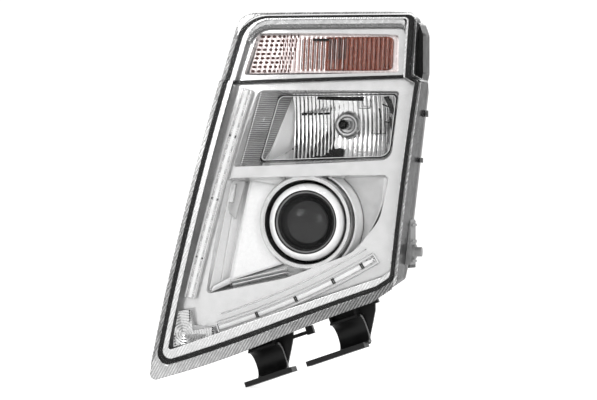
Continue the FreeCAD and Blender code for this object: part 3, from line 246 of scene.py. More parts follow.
def add_cad_looks():
    """One look for each material slot of the record."""
    LOOKS["clear_polycarbonate"] = clear("clear_polycarbonate", 0.99, 0.002, 0.07, depth=0.01)
    LOOKS["guide_clear"] = clear("guide_clear", 0.9, 0.12, 0.6, body=0.35, body_tone=0.72)
    LOOKS["bulb_glass"] = clear("bulb_glass", 0.93, 0.1, 0.9)
    LOOKS["lens_glass"] = clear("lens_glass", 0.6, 0.012, 0.5, size=20, depth=0.005)
    solid("seal_black", 0.006, 0.012, (0.35, 0.5), size=0.5)
    solid("housing_black", 0.005, 0.011, (0.3, 0.42), size=0.35, depth=0.05)
    solid("chrome_trim", 0.6, 0.67, (0.14, 0.22), 0.6, size=0.4, depth=0.006)
    solid("black_strip", 0.006, 0.01, (0.2, 0.3), size=0.5)
    solid("board", 0.6, 0.72, (0.35, 0.5), size=0.8)
    solid("reflector_mirror", 0.74, 0.84, (0.03, 0.08), 1.0, size=0.8, depth=0.004)
    solid("amber_optic", (0.13, 0.034, 0.02), (0.24, 0.058, 0.03), (0.15, 0.3), coat=0.25,
          alpha=0.95, clouds=4.0)
    solid("amber_glass", (0.4, 0.09, 0.03), (0.5, 0.13, 0.05), (0.05, 0.1), coat=0.8, alpha=0.8)
    solid("barrel_black", 0.01, 0.02, (0.3, 0.45), size=0.5)
    solid("steel_zinc", 0.5, 0.62, (0.25, 0.4), 1.0, depth=0.02)
    solid("cast_aluminium", 0.45, 0.56, (0.4, 0.55), 0.9, size=0.7, depth=0.06)
    solid("nylon_white", grey(0.62, 0.03), grey(0.7, 0.03), (0.4, 0.5), size=0.5)
    solid("nylon_black", 0.005, 0.01, (0.35, 0.48), size=0.4)
    solid("knob_grey", 0.16, 0.22, (0.4, 0.5), size=0.5)
    solid("peg_grey", 0.2, 0.27, (0.42, 0.55), size=0.5)
    solid("brass_pins", (0.6, 0.42, 0.16), (0.7, 0.5, 0.2), (0.2, 0.35), 1.0)
    solid("cap_rubber", 0.01, 0.02, (0.5, 0.62), size=0.4, depth=0.06)


# A flute look with painted shade lines across its ribs, in the grey that line gives.
def add_flute_look(name, dark, light, line):
    solid(name, dark, light, (0.2, 0.35), 0.5, "clear_polycarbonate", size=1.2, clouds=9,
          stripes=(*FLUTE_SHADE_LINES, grey(line)))


def add_piece_looks():
    """Looks of the mesh pieces, each with its slot of the record."""
    guide, amber, mirror, trim = "guide_clear", "amber_optic", "reflector_mirror", "chrome_trim"
    add_flute_look("flute_grey", 0.5, 0.72, 0.36)
    add_flute_look("flute_light", 0.66, 0.84, 0.55)
    # Painted shade: each level is a darker copy of the flute look.
    for level, shade in enumerate(PAINTED_FLUTE_SHADES, 1):
        tone = 1.0 - 0.07 * level
        add_flute_look(shade, 0.5 * tone, 0.72 * tone, 0.36 * tone * tone)
    LOOKS["guide_face"] = clear("guide_face", 0.95, 0.1, 0.6, body=0.9, body_tone=0.88)
    SLOTS["guide_face"] = guide
    solid("fresnel_grey", 0.55, 0.85, (0.1, 0.25), 0.6, guide, size=0.9, depth=0.12, clouds=1.8)
    solid("tooth_grey", 0.2, 0.32, (0.3, 0.45), 0.0, guide, size=0.5)
    solid("mirror_satin", 0.8, 0.9, (0.1, 0.24), 0.85, mirror, size=0.8, depth=0.01, clouds=4)
    # mirror_dark is the look of the painted shade between the dish's strips and of painted dark
    # reflections in the high beam.
    solid("mirror_dark", 0.015, 0.05, (0.12, 0.25), 0.5, mirror, clouds=5)
    solid("facet_white", 0.73, 0.79, (0.3, 0.4), 0.0, mirror, size=0.5, depth=0.008, clouds=4)
    solid("beam_white", 0.93, 0.97, (0.3, 0.4), 0.0, mirror, size=0.5, depth=0.008)
    solid("signal_silver", (0.66, 0.57, 0.56), (0.78, 0.7, 0.69), (0.2, 0.3), 0.3, mirror, clouds=7)
    solid("smoked", (0.035, 0.012, 0.008), (0.07, 0.02, 0.014), (0.25, 0.4), 0.0, amber, size=0.5)
    # amber_dark darkens the grooves between the amber flutes: painted shade.
    solid("amber_dark", (0.16, 0.025, 0.01), (0.22, 0.035, 0.014), (0.2, 0.3), 0.0, amber)
    # Painted shade: grey lines across the ribbed walls, at the pitch of their ribs, darken the grooves.
    solid("ribbed_chrome", 0.62, 0.8, (0.18, 0.28), 0.6, trim, size=0.5, depth=0.01, clouds=25,
          stripes=((0, 0, 1), 2.6, grey(0.3)))
    # The brow's foot takes a darker look than its upper part: painted shade, for the dark reflection
    # along the cove's lower edge.
    solid("brow_light", 0.42, 0.62, (0.2, 0.3), 0.4, trim, size=0.35, depth=0.012, clouds=5)
    solid("brow_dark", 0.05, 0.3, (0.2, 0.3), 0.6, trim, size=0.35, depth=0.05, clouds=0.9)
    solid("well_chrome", 0.74, 0.82, (0.25, 0.35), 0.15, trim, size=0.5, depth=0.008)
    solid("well_satin", 0.5, 0.58, (0.28, 0.4), 0.35, trim, size=0.4, depth=0.01)
    solid("collar_grey", 0.6, 0.7, (0.12, 0.2), 0.9, trim, size=0.5, depth=0.006)
    solid("ring_bright", 0.9, 0.95, (0.2, 0.3), 0.1, trim, size=0.5, depth=0.004)
    solid("disc_speckled", 0.03, 0.07, (0.3, 0.5), 0.0, "lens_glass", size=0.35, depth=0.1,
          clouds=1.2)


# ---- studio


def add_object(name, data):
    obj = bpy.data.objects.new(name, data)
    scene.collection.objects.link(obj)
    return obj


def stage_panel(name, corners, material):
    """A flat polygon of the studio."""
    mesh = bpy.data.meshes.new(name)
    mesh.from_pydata(corners, [], [tuple(range(len(corners)))])
    mesh.materials.append(material)
    panel = add_object(name, mesh)
    return panel


def build_studio():
    """A pale floor under a sky that darkens upwards."""
    world = bpy.data.worlds.new("studio")
    scene.world = world
    world.use_nodes = True
    tree = world.node_tree
    tree.nodes.clear()
    direction = new_node(tree, "TexCoord").outputs["Generated"]
    height = new_node(tree, "SeparateXYZ", {"Vector": direction}).outputs["Z"]
    colour = ramp_of(tree, height, (0.5, grey(1.0)), (0.72, grey(0.1)), (0.95, grey(0.35)))
    sky = new_node(tree, "Background", {"Color": colour, "Strength": 1.1})
    new_node(tree, "OutputWorld", {"Surface": sky.outputs["Background"]})

    paper = finish("floor_paper", grey(0.42), grey(0.44), (0.8, 0.9), size=2.0, clouds=400)
    shader = next(n for n in paper.node_tree.nodes if n.type == "BSDF_PRINCIPLED")
    shader.inputs["Emission Color"].default_value = rgba(grey(1.0))
    shader.inputs["Emission Strength"].default_value = 0.8
    reach, level = 400.0, cad_bounds[0][2]
    turns = [math.tau * i / 64 for i in range(64)]
    rim = [(reach * math.cos(turn), reach * math.sin(turn), level) for turn in turns]
    stage_panel("floor", rim, paper)


def dark_card(name, azimuth, width):
    """A black card beside the lamp, which glossy faces mirror; the camera looks past it."""
    distance, top, foot = 1.6, 2.4, cad_bounds[0][2] + 0.01
    turn = math.radians(azimuth)
    x, y = 0.04 + distance * math.sin(turn), -distance * math.cos(turn)
    dx, dy = math.cos(turn) * width / 2, math.sin(turn) * width / 2
    corners = [(x + a * dx, y + a * dy, z) for a, z in ((-1, foot), (1, foot), (1, top), (-1, top))]
    card = stage_panel(name, corners, LOOKS["cap_rubber"])
    card.visible_camera = False
    card.visible_shadow = False


def look_at(obj, place, target):
    obj.location = place
    obj.rotation_euler = (Vector(target) - Vector(place)).to_track_quat("-Z", "Y").to_euler()


def area_light(name, place, target, size, power):
    light = bpy.data.lights.new(name, "AREA")
    light.shape = "RECTANGLE"
    light.size, light.size_y = size
    light.energy = power
    look_at(add_object(name, light), place, target)


def build_camera():
    """A long lens, level with the lamp's middle and 15 degrees to its outboard side."""
    camera = bpy.data.cameras.new("camera")
    distance, field, azimuth = 4.0, 0.746, math.radians(15)
    target = Vector((0.042, 0.0, 0.2025))
    camera.sensor_width = 36.0
    camera.lens = camera.sensor_width * distance / field
    camera.clip_end = 100.0
    scene.camera = add_object("camera", camera)
    look_at(scene.camera, target + Vector((math.sin(azimuth), -math.cos(azimuth), 0)) * distance, target)


# ---- mesh building

SQUARE = ((-1, -1), (1, -1), (1, 1), (-1, 1))


def piece(name, vertices, faces, look, body=HOUSING, sharp=35):
    """A mesh piece in the row frame, smooth but for its sharp edges, on a body."""
    mesh = bpy.data.meshes.new(name)
    mesh.from_pydata([tuple(c * MM for c in v) for v in vertices], [], faces)
    mesh.validate()
    for polygon in mesh.polygons:
        polygon.use_smooth = True
    mesh.set_sharp_from_angle(angle=math.radians(sharp))
    mesh.materials.append(LOOKS[look])
    obj = add_object(name, mesh)
    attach(obj, body)
    return obj


def thicken(obj, thickness, offset=-1):
    wall = obj.modifiers.new("thickness", "SOLIDIFY")
    wall.thickness = thickness * MM
    wall.offset = offset
    return obj


def soften(obj, width, sharp=30):
    bevel = obj.modifiers.new("soft_edges", "BEVEL")
    bevel.width = width * MM
    bevel.segments = 2
    bevel.limit_method = "ANGLE"
    bevel.angle_limit = math.radians(sharp)
    return bevel


def flat(rows):
    return [point for row in rows for point in row]


def quads(rows, columns, closed=False, looped=False, start=0):
    """Faces of a grid of points; closed joins its last column to the first, looped its last row."""
    faces = []
    for i in range(rows if looped else rows - 1):
        low, high = start + i * columns, start + (i + 1) % rows * columns
        for j in range(columns if closed else columns - 1):
            k = (j + 1) % columns
            faces.append((low + j, low + k, high + k, high + j))
    return faces


def add_stack(vertices, faces, loops):
    """Adds a solid through a stack of loops, closed at both ends."""
    start, count = len(vertices), len(loops[0])
    last = start + count * (len(loops) - 1)
    vertices += flat(loops)
    faces += quads(len(loops), count, closed=True, start=start)
    faces += [tuple(start + k for k in reversed(range(count))), tuple(last + k for k in range(count))]


def grid_of(rows, columns, point):
    """Rows of points; point(u, v) gives the one at a share along its row and across the rows."""
    return [[point(j / columns, i / rows) for j in range(columns + 1)] for i in range(rows + 1)]


def sheet(name, rows, look, body=HOUSING, thickness=0.8, closed=False, **options):
    """A thin sheet through rows of points."""
    faces = quads(len(rows), len(rows[0]), closed)
    return thicken(piece(name, flat(rows), faces, look, body, **options), thickness)


def mix(a, b, share):
    return tuple(p + (q - p) * share for p, q in zip(a, b))


ROW_POINTS = 25


def line_row(a, b):
    return [mix(a, b, k / (ROW_POINTS - 1)) for k in range(ROW_POINTS)]


def loft(name, start, end, look, rows=8, bulge=0, body=HOUSING):
    """A sheet between two rows of points.

    A pair of points is a straight row. bulge moves points along Y: a height halfway between the
    rows, or a function of both shares.
    """
    start, end = [line_row(*row) if len(row) == 2 else row for row in (start, end)]
    rise = bulge if callable(bulge) else lambda u, v: bulge * math.sin(math.pi * v)
    grid = []
    for i in range(rows + 1):
        row = []
        for j, (a, b) in enumerate(zip(start, end)):
            x, y, z = mix(a, b, i / rows)
            row.append((x, y + rise(j / (len(start) - 1), i / rows), z))
        grid.append(row)
    return sheet(name, grid, look, body)


def lathe(name, profile, x, z, look, body, steps=96):
    """A closed profile of (radius, y) points turned about an axis along Y."""
    rows = []
    for i in range(steps):
        turn = math.tau * i / steps
        across, up = math.cos(turn), math.sin(turn)
        rows.append([(x + r * across, y, z + r * up) for r, y in reversed(profile)])
    piece(name, flat(rows), quads(steps, len(profile), closed=True, looped=True), look, body)


def inset(corners, distances):
    """A polygon moved inwards, side by side; side i runs from corner i to the next one."""
    lines = []
    for (x0, z0), (x1, z1), d in zip(corners, corners[1:] + corners[:1], distances):
        dx, dz = x1 - x0, z1 - z0
        size = math.hypot(dx, dz)
        lines.append((x0 - dz / size * d, z0 + dx / size * d, dx, dz))
    moved = []
    for (x0, z0, dx0, dz0), (x1, z1, dx1, dz1) in zip(lines[-1:] + lines[:-1], lines):
        t = ((x1 - x0) * dz1 - (z1 - z0) * dx1) / (dx0 * dz1 - dz0 * dx1)
        moved.append((x0 + dx0 * t, z0 + dz0 * t))
    return moved


def smooth_ring(corners, radii, counts, bend_steps=24):
    """Points around a polygon with rounded corners: a bend at each corner, then its side."""
    arcs = []
    for i, (corner, radius) in enumerate(zip(corners, radii)):
        middle = Vector(corner)
        back = (Vector(corners[i - 1]) - middle).normalized()
        ahead = (Vector(corners[(i + 1) % len(corners)]) - middle).normalized()
        half = back.angle(ahead) / 2
        centre = middle + (back + ahead).normalized() * (radius / math.sin(half))
        start = middle + back * (radius / math.tan(half)) - centre
        end = middle + ahead * (radius / math.tan(half)) - centre
        turn_from = math.atan2(start.y, start.x)
        turn_by = (math.atan2(end.y, end.x) - turn_from + math.pi) % math.tau - math.pi
        turns = [turn_from + turn_by * k / bend_steps for k in range(bend_steps + 1)]
        arcs.append([(centre.x + radius * math.cos(t), centre.y + radius * math.sin(t)) for t in turns])
    ring = []
    for arc, following, count in zip(arcs, arcs[1:] + arcs[:1], counts):
        ring += arc[:-1] + [mix(arc[-1], following[0], k / count) for k in range(count)]
    return ring


# ---- looks of the CAD model


def dress_nodes():
    """Gives every CAD node the finish of its slot; softens the edges of all but the bezels and the
    divider strip, whose creases are split instead.
    """
    rounding = {"left_foot": 0.7, "right_foot": 0.7, "housing": 0.5,
                "projector_ring": 0.4, "projector_lens_holder": 0.3}
    slots = {part["node"]: part["material_slot"] for part in frame["record"]["subparts"]}
    for name, node in frame["nodes"].items():
        node.data.materials.clear()
        node.data.materials.append(LOOKS[slots[name]])
        weld = node.modifiers.new("weld", "WELD")
        weld.merge_threshold = 0.002 * MM
        # divider_strip takes the black strip look, which stands in for the shadow under the lens's step:
        # painted shade.
        if name in ("main_bezel", "signal_bezel", "divider_strip"):
            split = node.modifiers.new("creases", "EDGE_SPLIT")
            split.split_angle = math.radians(25)
            node.modifiers.new("even_normals", "WEIGHTED_NORMAL")
            continue
        bevel = soften(node, rounding.get(name, 0.25), 40)
        bevel.harden_normals = True


# ---- lens border, seal and feet

# Where the painted shade of the lower flutes starts in X, and the width of each of its levels.
SHADE_START, SHADE_WIDTH = -135, 30
BEND_STEPS = 24


def bowed(x, z, side, share):
    """Bows the two lower sides downwards along the inboard side's line, by a share of the full bow."""
    if side > 1:
        return x, z
    along = (x - LENS_OUTLINE[0][0]) / (LENS_OUTLINE[2][0] - LENS_OUTLINE[0][0])
    amount = share * (3.5 + 9 * math.exp(-(((along - 0.3) / 0.36) ** 2)))
    return x - 0.252 * amount, z - 0.968 * amount


def sides_of(counts):
    """The side that each point of a ring belongs to."""
    return [i for i, count in enumerate(counts) for _ in range(BEND_STEPS + count)]


def border_ring(insets, radii, bow, counts):
    """A ring inside the lens's outline, whose two lower sides follow a share of the bow."""
    ring = smooth_ring(inset(LENS_OUTLINE, insets), [max(r, 1) for r in radii], counts, BEND_STEPS)
    return [bowed(x, z, side, bow) for (x, z), side in zip(ring, sides_of(counts))]


def fluted_band(name, edges, look, flutes, thickness, shades=()):
    """A ribbed ring on the back of the lens between two edges, which are border_ring's values.

    flutes gives the pitch, slant and height of the ribs on each side; shades are looks that take
    over along the two lower sides, one after the other, each darker than the last: painted shade
    for the dark housing seen through the flutes.
    """
    step, depth, rows_across = 0.42, 3.1, 8
    lengths = [math.dist(a, b) for a, b in zip(LENS_OUTLINE, LENS_OUTLINE[1:] + LENS_OUTLINE[:1])]
    counts = [max(8, round(length / step)) for length in lengths]
    side_of = sides_of(counts)
    rings = [border_ring(*edge, counts) for edge in edges]
    walked = [0]
    for a, b in zip(rings[0], rings[0][1:]):
        walked.append(walked[-1] + math.dist(a, b))
    rows = []
    for k in range(rows_across + 1):
        share = k / rows_across
        row = []
        for j, (a, b) in enumerate(zip(*rings)):
            x, z = mix(a, b, share)
            pitch, slant, height = flutes[side_of[j]]
            wave = abs(math.sin(math.pi * (walked[j] + slant * share) / pitch))
            row.append((x, lens_y(x, z, depth) + height * (1 - wave), z))
        rows.append(row)
    band = sheet(name, rows, look, HOUSING, thickness, closed=True, sharp=50)
    for shade in shades:
        band.data.materials.append(LOOKS[shade])
    # Painted shade: the lower sides' flutes darken level by level towards the outboard end.
    for polygon in band.data.polygons:
        if side_of[polygon.index % len(side_of)] < 2:
            level = int((polygon.center.x / MM - SHADE_START) / SHADE_WIDTH)
            polygon.material_index = min(max(level, 0), len(shades))


def build_lens_edges():
    """Flutes outside the seal on the inboard and lower sides, and inside it all round."""
    flutes = [(2.9, -14, 0.6), (2.9, -9, 0.6)] + [(2.4, 0, 0.2)] * 4
    start = [d * 0.1 for d in SEAL_OUTER]
    end = [d - 0.3 for d in SEAL_OUTER]
    end[2:6] = [0.9, 0.9, 0.9, 0.7]
    edges = [(start, LENS_RADII, 1), (end, SEAL_RADII, OUTER_BOW)]
    fluted_band("lens_outer_flutes", edges, "flute_grey", flutes + [(1.7, 1, 0.4)], 1.2, PAINTED_FLUTE_SHADES)

    widths = [6.5, 4.5, 0.8, 0.8, 2.4, 2.2, 6.8]
    start_radii = [r - SEAL_WIDTH for r in SEAL_RADII]
    end_radii = [r - w for r, w in zip(start_radii, widths)]
    edges = [([d + 0.3 for d in SEAL_INNER], start_radii, INNER_BOW),
             ([d + w for d, w in zip(SEAL_INNER, widths)], end_radii, 0)]
    fluted_band("lens_inner_flutes", edges, "flute_light", flutes + [(1.7, 1, 0.2)], 0.3)


def build_seal():
    """The black bead that bonds the lens, which follows the bow of the lower edge."""
    counts = [90, 30, 40, 8, 30, 60, 90]
    outer = border_ring(SEAL_OUTER, SEAL_RADII, OUTER_BOW, counts)
    inner = border_ring(SEAL_INNER, [r - SEAL_WIDTH for r in SEAL_RADII], INNER_BOW, counts)
    front, back = SEAL_FRONT, SEAL_FRONT + SEAL_HEIGHT
    rows = [[(x, lens_y(x, z, depth), z) for x, z in ring]
            for ring, depth in ((outer, back), (outer, front), (inner, front), (inner, back))]
    faces = quads(len(rows), len(outer), closed=True, looped=True)
    seal = piece("lens_seal_bead", flat(rows), faces, "seal_black")
    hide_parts("lens_seal")


def build_foot_rib_highlights():
    """A raised rim around the outboard end of each saddle, in a lighter grey than the foot: partly the
    real end rim, partly a painted highlight along its edge.
    """
    mounts = frame["record"]["mounts"]
    along = Vector(next(m for m in mounts if m["name"] == "tube_saddles")["axis"])
    up = Vector((-along.z, 0, along.x))
    middle_radius, half_turn = 18.4, 76
    for label, start in (("left", 0), ("right", FOOT_PITCH)):
        rows = []
        for offset, lift in ((-1, 0), (-0.6, 0.8), (0.6, 0.8), (1, 0)):
            row = []
            for k in range(41):
                turn = math.radians(half_turn * (k / 20 - 1))
                radius = middle_radius + offset - 0.7 * math.cos(4 * turn)
                point = along * (start + FOOT_END + lift) + up * (radius * math.sin(turn))
                row.append((point.x, radius * math.cos(turn), point.z))
            rows.append(row)
        # Painted highlight: the rims take the lighter knob grey.
        sheet(f"{label}_foot_rib_highlight", rows, "knob_grey", HOUSING, 0.5, sharp=50)


# ---- light guides

SIDE_TOP, SIDE_FOOT = (-14, 340.5), (-88, 80)
ARC_CENTRE, ARC_RADIUS = (-317.3, 924.5), 920.5
ARC_START, ARC_END = math.radians(-73.2), math.radians(-59.6)
GUIDE_HALF, GUIDE_DEPTH = 4.8, 12
BED_DEPTH, FOLD_DEPTH = GUIDE_DEPTH + 0.5, 14.2
CORNER_ARMS = [
    [(-111.5, 18.4), (-53.9, 34.5), (-57.8, 44), (-109.3, 35.6)],
    [(-109.3, 35.6), (-84, 39.7), (-86.5, 66), (-102.4, 63.4)],
]


def arc_point(share):
    turn = ARC_START + (ARC_END - ARC_START) * share
    return (ARC_CENTRE[0] + ARC_RADIUS * math.cos(turn), ARC_CENTRE[1] + ARC_RADIUS * math.sin(turn))


def side_point(share):
    return mix(SIDE_FOOT, SIDE_TOP, share)


def frame_at(spine, share):
    """Point on a spine with its directions along and across, in the front view."""
    step = 0.001
    point, ahead = Vector(spine(share)), Vector(spine(share + step))
    along = (ahead - point).normalized()
    return point, along, Vector((-along.y, along.x))


def beside(spine, share, across):
    """Point at a distance to the side of a spine."""
    point, _, side = frame_at(spine, share)
    return point + side * across


def ridges(name, spine, pitch, height, margin=0.35, depth=GUIDE_DEPTH - 0.05):
    """Fine ridges across a light guide's front face."""
    steps = round(math.dist(spine(0), spine(1)) / pitch) * 4
    half = GUIDE_HALF - margin
    rows = []
    for across in (-1, -0.55, -0.5, 0.5, 0.55, 1):
        top = height if abs(across) <= 0.5 else 0
        row = []
        for j in range(steps + 1):
            x, z = beside(spine, 0.004 + 0.992 * j / steps, half * across)
            lift = top * (0.5 - 0.5 * math.cos(math.pi * j / 2))
            row.append((x, face_y(x, z, depth) - lift, z))
        rows.append(row)
    sheet(name, rows, "guide_face", HOUSING, 0.25, sharp=60)


def bead(name, spine, across, wide, high, depth, start=0, end=1):
    """A thin rounded line along a guide, at a distance to its side."""
    def point(u, v):
        turn = math.pi * v
        x, z = beside(spine, start + (end - start) * u, across - wide / 2 * math.cos(turn))
        return x, face_y(x, z, depth) - high * math.sin(turn), z

    sheet(name, grid_of(4, 60, point), "well_satin", HOUSING, 0.2, sharp=60)


def ticks(name, spine, places, gap, width):
    """Pairs of dark clips across a light guide."""
    vertices, faces = [], []
    half = GUIDE_HALF - 1.2
    for place in places:
        point, along, side = frame_at(spine, place)
        for shift in (-gap / 2, gap / 2):
            corners = [point + along * (shift + a * width / 2) + side * (s * half) for a, s in SQUARE]
            add_stack(vertices, faces, [[(x, face_y(x, z, depth), z) for x, z in corners]
                                        for depth in (GUIDE_DEPTH + 0.1, GUIDE_DEPTH - 1.4)])
    soften(piece(name, vertices, faces, "black_strip", sharp=30), 0.25)


def dots(name, places, wide, tall, lift, look="black_strip"):
    """Small upright blocks on the lens-shaped face of a guide."""
    vertices, faces = [], []
    for x, z, depth in places:
        y = face_y(x, z, depth)
        add_stack(vertices, faces, [[(x + a * wide / 2, y + back, z + c * tall / 2) for a, c in SQUARE]
                                    for back in (0.1, -lift)])
    piece(name, vertices, faces, look, sharp=30)


def serrations(name, spine, pitch=2.7):
    """Two rows of small teeth along a guide, near its edges."""
    count = round(math.dist(spine(0), spine(1)) / pitch)
    places = [(*beside(spine, j / count, across), GUIDE_DEPTH - 0.1)
              for j in range(1, count) for across in (-2.9, 2.9)]
    dots(name, places, 1, 0.9, 0.5, "tooth_grey")


def in_corner(x, z):
    """True inside either arm of the corner light."""
    for quad in CORNER_ARMS:
        sides = zip(quad, quad[1:] + quad[:1])
        if all((bx - ax) * (z - az) - (bz - az) * (x - ax) > 0.3 for (ax, az), (bx, bz) in sides):
            return True
    return False


def build_corner_optic():
    """Fresnel rings on both arms of the corner light, with dark marks at their ends."""
    centre, pitch = Vector((-96.5, 35)), 3.4
    rings_depth, marks_depth, optic_depth = 8.0, 8.4, 9.6
    for index, (a, b, c, d) in enumerate(CORNER_ARMS):
        def point(u, v):
            x, z = mix(mix(a, b, u), mix(d, c, u), v)
            saw = ((Vector((x, z)) - centre).length / pitch) % 1
            return x, face_y(x, z, optic_depth) - 1.5 * saw, z

        sheet(f"corner_fresnel_{index}", grid_of(59, 109, point), "fresnel_grey", HOUSING, 0.4, sharp=25)

    vertices, faces = [], []
    for ring in range(1, 9):
        for start_turn in (100, 172, 244, 316):
            begin = len(vertices)
            for k in range(9):
                turn = math.radians(start_turn + 44 * k / 8)
                for radius in (pitch * ring - 0.5, pitch * ring + 0.5):
                    x = centre.x + radius * math.cos(turn)
                    z = centre.y + radius * math.sin(turn)
                    vertices.append((x, face_y(x, z, rings_depth), z))
            faces += [face for face in quads(9, 2, start=begin)
                      if all(in_corner(vertices[i][0], vertices[i][2]) for i in face)]
    used = sorted({i for face in faces for i in face})
    place = {old: new for new, old in enumerate(used)}
    faces = [tuple(place[i] for i in face) for face in faces]
    thicken(piece("corner_rings", [vertices[i] for i in used], faces, "tooth_grey"), 0.4, 1)
    marks = [(x, z + step * k, marks_depth) for x, z, step, count in
             ((-87.5, 52, 3.1, 5), (-57.5, 36, 2.6, 4), (-108.5, 22, 3.4, 4)) for k in range(count)]
    dots("corner_marks", marks, 1.5, 1.9, 0.8)


def build_guides():
    """The ridged faces, beds, edges, teeth and clips of both light guides."""
    for label, spine in (("side", side_point), ("lower", arc_point)):
        ridges(f"{label}_guide_ridges", spine, 1.5, 0.5)
        ridges(f"{label}_guide_bed", spine, 3, 0.3, -2.3, BED_DEPTH)
        serrations(f"{label}_guide_teeth", spine)
        for k, across in enumerate((-7.3, 7.3)):
            bead(f"{label}_guide_edge_{k}", spine, across, 0.9, 0.5, BED_DEPTH)
    bead("bezel_fold", arc_point, 15.5, 1.6, 0.7, FOLD_DEPTH, 0.04, 0.98)
    foot, top = SIDE_FOOT[1], SIDE_TOP[1]
    clips = [(*beside(side_point, (z - foot) / (top - foot), across), GUIDE_DEPTH)
             for z in (131, 204, 282) for across in (-4, 4)]
    dots("side_guide_clips", clips, 2.2, 1.6, 1.2)
    ticks("lower_guide_clips", arc_point, (0.245, 0.49, 0.73, 0.915), 2.2, 1.5)
    ends = ((0.975, 2.2), (0.985, -1.5), (0.955, 3.2), (0.99, 3.4), (0.965, -3.2), (0.994, 0.6))
    end_marks = [(*beside(arc_point, share, across), GUIDE_DEPTH - 0.2) for share, across in ends]
    dots("lower_guide_end", end_marks, 1.5, 1.2, 0.7)
    build_corner_optic()


# ---- high beam

WINDOW_FOOT, WINDOW_TOP = (-27, 245), (-1, 339)
BEAM_REAR = [(-11, 250), (160, 255), (170, 335), (15, 335)]
STRIPS, STRIPS_LEFT, STRIPS_RIGHT = 11, 21, 69
BULB_HOLE = 13.6


def dish_y(x, z):
    """Y of the dish, which is 78 mm deep behind the bulb."""
    return 78 - ((x - HIGH_X) ** 2 + (z - HIGH_Z) ** 2) / 185


def strip_lean(z):
    return 1.6 * ((z - HIGH_Z) / 46) ** 2


def ribbed_wall(name, front, rear, body=HOUSING):
    """A chromed wall between a front and a rear edge, ribbed across with small steps."""
    pitch, height, hollow = 2.6, 0.55, 1.6
    length = math.dist(*front)

    def point(u, v):
        x, y, z = mix(mix(*front, u), mix(*rear, u), v)
        wave = abs(math.sin(math.pi * length * u / pitch))
        return x + height * wave, y + hollow * math.sin(math.pi * v), z

    grid = grid_of(14, round(length / pitch) * 6, point)
    sheet(name, grid, "ribbed_chrome", body, 0.5, sharp=50)


def build_window():
    """The ribbed inboard wall of the high beam's window, and two lines around its rear."""
    (x0, z0), (x1, z1) = WINDOW_FOOT, WINDOW_TOP
    (x2, z2), (x3, z3) = BEAM_REAR[0], BEAM_REAR[3]
    ribbed_wall("window_ribs", ((x0 + 2.2, -30, z0 + 1.5), (x1 + 2.2, -30, z1 - 1.5)),
                ((x2 + 0.8, 2, z2 + 0.5), (x3 + 0.8, 2, z3 - 0.5)))
    radii, counts, deep = [4, 14, 5, 9], [40, 30, 40, 30], 1.4
    for name, sides, wide, look, y in (
            ("window_edge", [0.3, 0.9, 0.9, 0.3], 1.5, "black_strip", 2),
            ("window_line", [2, 2.6, 2.4, 2.2], 0.7, "well_chrome", 3)):
        rings = [smooth_ring(inset(BEAM_REAR, [d + more for d in sides]), radii, counts, 10)
                 for more in (0, wide)]
        rows = [[(x0, y, z0), (x1, y, z1), (x1, y + deep, z1), (x0, y + deep, z0)]
                for (x0, z0), (x1, z1) in zip(*rings)]
        piece(name, flat(rows), quads(len(rows), 4, closed=True, looped=True), look)


def strip_dish(x_from, x_to, strips, bulge, leaning):
    """Points of a stretch of the dish, cut into upright strips that each bulge forwards."""
    z_from, z_to, per_strip = 246.6, 338.6, 8

    def point(u, v):
        x, z = x_from + (x_to - x_from) * u, z_from + (z_to - z_from) * v
        hump = bulge * (1 - (2 * (strips * u % 1) - 1) ** 2)
        return x + (strip_lean(z) if leaning else 0), dish_y(x, z) - hump, z

    return grid_of(48, strips * per_strip, point)


def build_beam_mirror():
    """The dish in strips with a hole for the bulb, and the facets at its inboard side."""
    left, middle, right = STRIPS_LEFT, STRIPS_RIGHT, 166
    strips = strip_dish(left, middle, STRIPS, 0.6, True)
    sheet("beam_strips", strips, "mirror_satin", CARRIER, sharp=28)
    rows = strip_dish(middle, right, 16, 0.5, False)
    vertices = flat(rows)
    faces = []
    for face in quads(len(rows), len(rows[0])):
        x = sum(vertices[i][0] for i in face) / 4
        z = sum(vertices[i][2] for i in face) / 4
        if math.hypot(x - HIGH_X, z - HIGH_Z) > BULB_HOLE:
            faces.append(face)
    centre = thicken(piece("beam_dish", vertices, faces, "mirror_satin", CARRIER, sharp=28), 0.8)
    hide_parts("high_beam_reflector")

    head_y = dish_y(left, 330)
    foot, head = (-6.7, 20, 249.4), (left, head_y, 333)
    ribbed_wall("beam_side_wall", ((-13.5, 14, 247), (11, 14, 337)),
                (foot, (left + 1, head_y, 336.5)), CARRIER)
    edge = [(left + 1.4, dish_y(left, z) + 0.6, z) for z in (268, 290, 312, 325)]
    slope = [mix(foot, head, k) for k in (0, 0.33, 0.67, 1)]
    loft("beam_side_facet", slope, edge, "beam_white", 4, body=CARRIER)
    floor = [(2, 18, 247), (12, 28, 247.2), (left + 2.6, dish_y(left, 249), 247.4)]
    loft("beam_low_facet", [foot, mix(foot, edge[0], 0.5), edge[0]], floor, "well_chrome", 4,
         body=CARRIER)
    build_mirror_step_shade()
    build_mirror_marks()
    build_box_walls()


